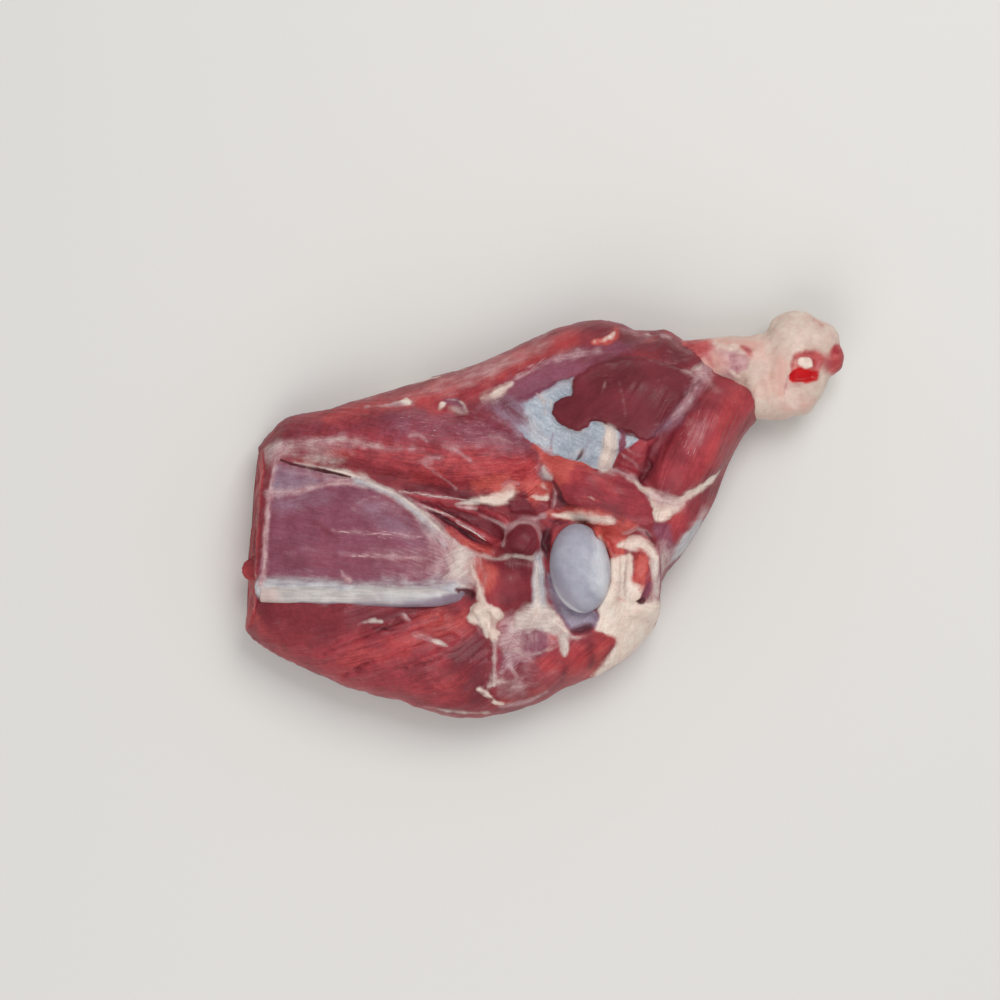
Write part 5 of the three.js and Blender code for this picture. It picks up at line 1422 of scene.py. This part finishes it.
class FORELEG_OT_add_joint_ball(bpy.types.Operator):
    """Adds the cartilage ball of the opened joint"""

    bl_idname = "foreleg.add_joint_ball"
    bl_label = "Add joint ball"

    RINGS = 72
    POINTS_ROUND = 112
    # The relief fades in over this height above the ball's middle.
    RELIEF_FADE = 6

    def execute(self, context):
        settings = context.scene.foreleg
        rise = np.linspace(0, np.pi, self.RINGS + 2)[1:-1, None]
        turn = -np.linspace(0, 2 * np.pi, self.POINTS_ROUND, endpoint=False)[None, :]
        wide, tall = np.sin(rise) * np.cos(turn), np.sin(rise) * np.sin(turn)
        ball = np.stack([wide, tall, -np.cos(rise) + 0 * turn], axis=2) * BALL_RADII
        angle = math.radians(BALL_TURN)
        cosine, sine = math.cos(angle), math.sin(angle)
        spin = np.array(((cosine, sine, 0), (-sine, cosine, 0), (0, 0, 1)))
        ball = ball @ spin + BALL_AT
        x, y, z = (ball[..., k].ravel() for k in range(3))
        shares = no_tissue(BALL_TISSUES, len(x))
        grain = np.stack([x, y, z / GRAIN_HEIGHT], axis=1)
        strands = grain.copy()
        relief = lay_tissue(BALL_FEATURES, shares, x, y, strands)
        relief += 0.35 * cloud(x / 12, y / 12, 51)
        relief *= smooth((z - BALL_AT[2]) / self.RELIEF_FADE)
        moved = ball + grid_normals(ball) * relief.reshape(*ball.shape[:2], 1)
        mesh = grid_mesh("cartilage_ball", moved, cover_factors(shares, BALL_TISSUES), grain, strands)
        add_piece("cartilage_ball", mesh, wet_cartilage(settings.colours), "joint_ball")
        return {"FINISHED"}


class FORELEG_OT_add_blade_border(bpy.types.Operator):
    """Adds the pale border of the shoulder blade"""

    bl_idname = "foreleg.add_blade_border"
    bl_label = "Add blade border"

    PATH = ((-141, -40, 38), (-120, -40.5, 42), (-95, -41, 44.2), (-70, -42, 45.6), (-52, -42, 45.4),
            (-38, -40, 42))
    WIDTHS = (9, 9.6, 10, 10, 9.6, 6)
    FLATNESS = 0.68
    # Shares of the length over which the two ends round off.
    CUT_END = 0.015
    JOINT_END = 0.06
    STEPS = 190
    POINTS_ROUND = 48

    def execute(self, context):
        settings = context.scene.foreleg
        share = np.linspace(0, 1, self.STEPS)
        path = spline(self.PATH, share)
        half = np.interp(share, np.linspace(0, 1, len(self.WIDTHS)), self.WIDTHS)[:, None] / 2
        taper = np.minimum(rounded(share / self.CUT_END), rounded((1 - share) / self.JOINT_END))
        half = half * taper[:, None]
        turn = np.linspace(0, 2 * np.pi, self.POINTS_ROUND, endpoint=False)[None, :]
        side, up = half * np.cos(turn), half * self.FLATNESS * np.sin(turn)
        rod = path[:, None, :] + np.stack([0 * side, side, up], axis=2)
        x, y, z = (rod[..., k].ravel() for k in range(3))
        shares = no_tissue(BORDER_TISSUES, len(x))
        grain = np.stack([x, y, z / GRAIN_HEIGHT], axis=1)
        strands = grain.copy()
        relief = lay_tissue(BORDER_FEATURES, shares, x, y, strands)
        relief += 0.3 * cloud(x / 10, y / 4, 41)
        moved = rod + grid_normals(rod) * relief.reshape(*rod.shape[:2], 1)
        mesh = grid_mesh("blade_border_skin", moved, cover_factors(shares, BORDER_TISSUES), grain, strands)
        add_piece("blade_border_skin", mesh, wet_bone_skin(settings.colours), "blade_border")
        return {"FINISHED"}


class FORELEG_OT_add_threads(bpy.types.Operator):
    """Adds the white threads of membrane that lie on the meat"""

    bl_idname = "foreleg.add_threads"
    bl_label = "Add threads"

    SIDES = 8
    STEPS = 60
    FLATNESS = 0.8
    # How high over the meat a thread's middle lies, and from how high above the floor it is dropped.
    OVER_MEAT = 0.1
    DROP_HEIGHT = 0.2

    def execute(self, context):
        meat = bpy.data.objects.get("meat_skin")
        if meat is None:
            raise RuntimeError("the threads lie on the meat, so add the meat first")
        context.view_layer.update()
        points, faces, grain = [], [], []
        for path, width in THREADS:
            self.add_thread(meat, path, width, points, faces, grain)
        mesh = bpy.data.meshes.new("membrane_threads")
        mesh.from_pydata(points, [], faces)
        mesh.update()
        write_attributes(mesh, {}, np.array(grain), np.array(grain))
        add_piece("membrane_threads", mesh, torn_membrane(context.scene.foreleg.colours))
        return {"FINISHED"}

    def add_thread(self, meat, path, width, points, faces, grain):
        """A thin tapered tube along a path, dropped on the meat."""
        first = len(points)
        share = np.linspace(0, 1, self.STEPS)
        plan = spline(path, share)
        plan[:, 1] += 0.5 * cloud(plan[:, 0] / 3, plan[:, 1] / 3, first)
        taper = np.sqrt(np.clip(4 * share * (1 - share), 0, 1))
        half = width / 2 * taper * (1 + 0.4 * cloud(share * 14, 0 * share, first))
        ahead = np.gradient(plan, axis=0)
        ahead /= np.linalg.norm(ahead, axis=1, keepdims=True)
        for k in range(self.STEPS):
            above = Vector((*placed(np.array((*plan[k], 0.0)))[:2], self.DROP_HEIGHT))
            hit, spot, _, _ = meat.ray_cast(above, Vector((0, 0, -1)))
            if not hit:
                raise RuntimeError("a thread lies outside the meat")
            for turn in np.linspace(0, 2 * np.pi, self.SIDES, endpoint=False):
                side = math.cos(turn) * half[k]
                height = math.sin(turn) * half[k] * self.FLATNESS + self.OVER_MEAT
                points.append(spot + Vector((-ahead[k, 1] * side, ahead[k, 0] * side, height)) * MM)
                grain.append((k, turn, width))
        for k in range(self.STEPS - 1):
            for j in range(self.SIDES):
                a, b = first + k * self.SIDES + j, first + k * self.SIDES + (j + 1) % self.SIDES
                faces.append((a, a + self.SIDES, b + self.SIDES, b))
        faces.append(tuple(first + j for j in range(self.SIDES)))
        faces.append(tuple(first + (self.STEPS - 1) * self.SIDES + j for j in reversed(range(self.SIDES))))


class FORELEG_OT_add_stage(bpy.types.Operator):
    """Adds a plain pale floor, soft studio lights and a camera that looks straight down"""

    bl_idname = "foreleg.add_stage"
    bl_label = "Add stage"

    VIEW_MIDDLE = (-21.25, 6.25, 30.0)
    # In metres: half the floor's side, and each light's place and size.
    FLOOR_REACH = 6.0
    KEY_AT = (0.4, 0.7, 1.35)
    KEY_SIZE = 0.8
    FILL_AT = (-0.25, -0.95, 1.15)
    FILL_SIZE = 1.2

    def execute(self, context):
        scene = context.scene
        stage = scene.foreleg.stage
        floor_mesh = bpy.data.meshes.new("floor")
        reach = self.FLOOR_REACH
        corners = [(-reach, -reach, 0), (reach, -reach, 0), (reach, reach, 0), (-reach, reach, 0)]
        floor_mesh.from_pydata(corners, [], [(0, 1, 2, 3)])
        floor_mesh.materials.append(self.floor_paint(stage.floor))
        floor = bpy.data.objects.new("floor", floor_mesh)
        scene.collection.objects.link(floor)

        middle = placed(np.array(self.VIEW_MIDDLE))
        camera_data = bpy.data.cameras.new("camera")
        camera_data.lens = camera_data.sensor_width * (stage.height - middle[2]) / stage.span
        camera = bpy.data.objects.new("camera", camera_data)
        camera.location = (middle[0], middle[1], stage.height)
        scene.collection.objects.link(camera)
        scene.camera = camera

        self.add_light(scene, "key", self.KEY_AT, self.KEY_SIZE, stage.key)
        self.add_light(scene, "fill", self.FILL_AT, self.FILL_SIZE, stage.fill)
        world = bpy.data.worlds.new("surroundings")
        world.use_nodes = True
        background = world.node_tree.nodes["Background"]
        background.inputs["Color"].default_value = (1, 1, 1, 1)
        background.inputs["Strength"].default_value = stage.sky
        scene.world = world
        scene.view_settings.view_transform = "Standard"
        return {"FINISHED"}

    @staticmethod
    def floor_paint(shade_of_floor):
        """Matt painted board: plain and pale, with no highlight."""
        material = bpy.data.materials.new("Matt board")
        material.use_nodes = True
        shader = material.node_tree.nodes["Principled BSDF"]
        shader.inputs["Base Color"].default_value = shade_of_floor
        shader.inputs["Roughness"].default_value = 0.9
        return material

    @staticmethod
    def add_light(scene, name, place, size, power):
        """A soft square light that faces the middle of the floor."""
        light = bpy.data.lights.new(name, "AREA")
        light.size = size
        light.energy = power
        lamp = bpy.data.objects.new(name, light)
        lamp.location = place
        lamp.rotation_mode = "QUATERNION"
        lamp.rotation_quaternion = (-Vector(place)).to_track_quat("-Z", "Y")
        scene.collection.objects.link(lamp)


class VIEW3D_PT_foreleg(bpy.types.Panel):
    """Lists the foreleg's pieces"""

    bl_label = "Raw lamb foreleg"
    bl_space_type = "VIEW_3D"
    bl_region_type = "UI"
    bl_category = "Foreleg"

    def draw(self, context):
        for operator in PIECES:
            self.layout.operator(operator.bl_idname)
        settings = context.scene.foreleg
        for group in (settings.sizes, settings.stage, settings.colours):
            for name in group.__annotations__:
                self.layout.prop(group, name)


PIECES = (
    FORELEG_OT_add_meat,
    FORELEG_OT_add_shank_bone,
    FORELEG_OT_add_joint_ball,
    FORELEG_OT_add_blade_border,
    FORELEG_OT_add_threads,
    FORELEG_OT_add_stage,
)
CLASSES = (ForelegColours, ForelegSizes, ForelegStage, ForelegSettings, *PIECES, VIEW3D_PT_foreleg)


def register():
    for item in CLASSES:
        bpy.utils.register_class(item)
    bpy.types.Scene.foreleg = PointerProperty(type=ForelegSettings)


def unregister():
    del bpy.types.Scene.foreleg
    for item in reversed(CLASSES):
        bpy.utils.unregister_class(item)


def main():
    register()
    bpy.ops.foreleg.add_meat()
    bpy.ops.foreleg.add_shank_bone()
    bpy.ops.foreleg.add_joint_ball()
    bpy.ops.foreleg.add_blade_border()
    bpy.ops.foreleg.add_threads()
    bpy.ops.foreleg.add_stage()


if __name__ == "__main__":
    main()
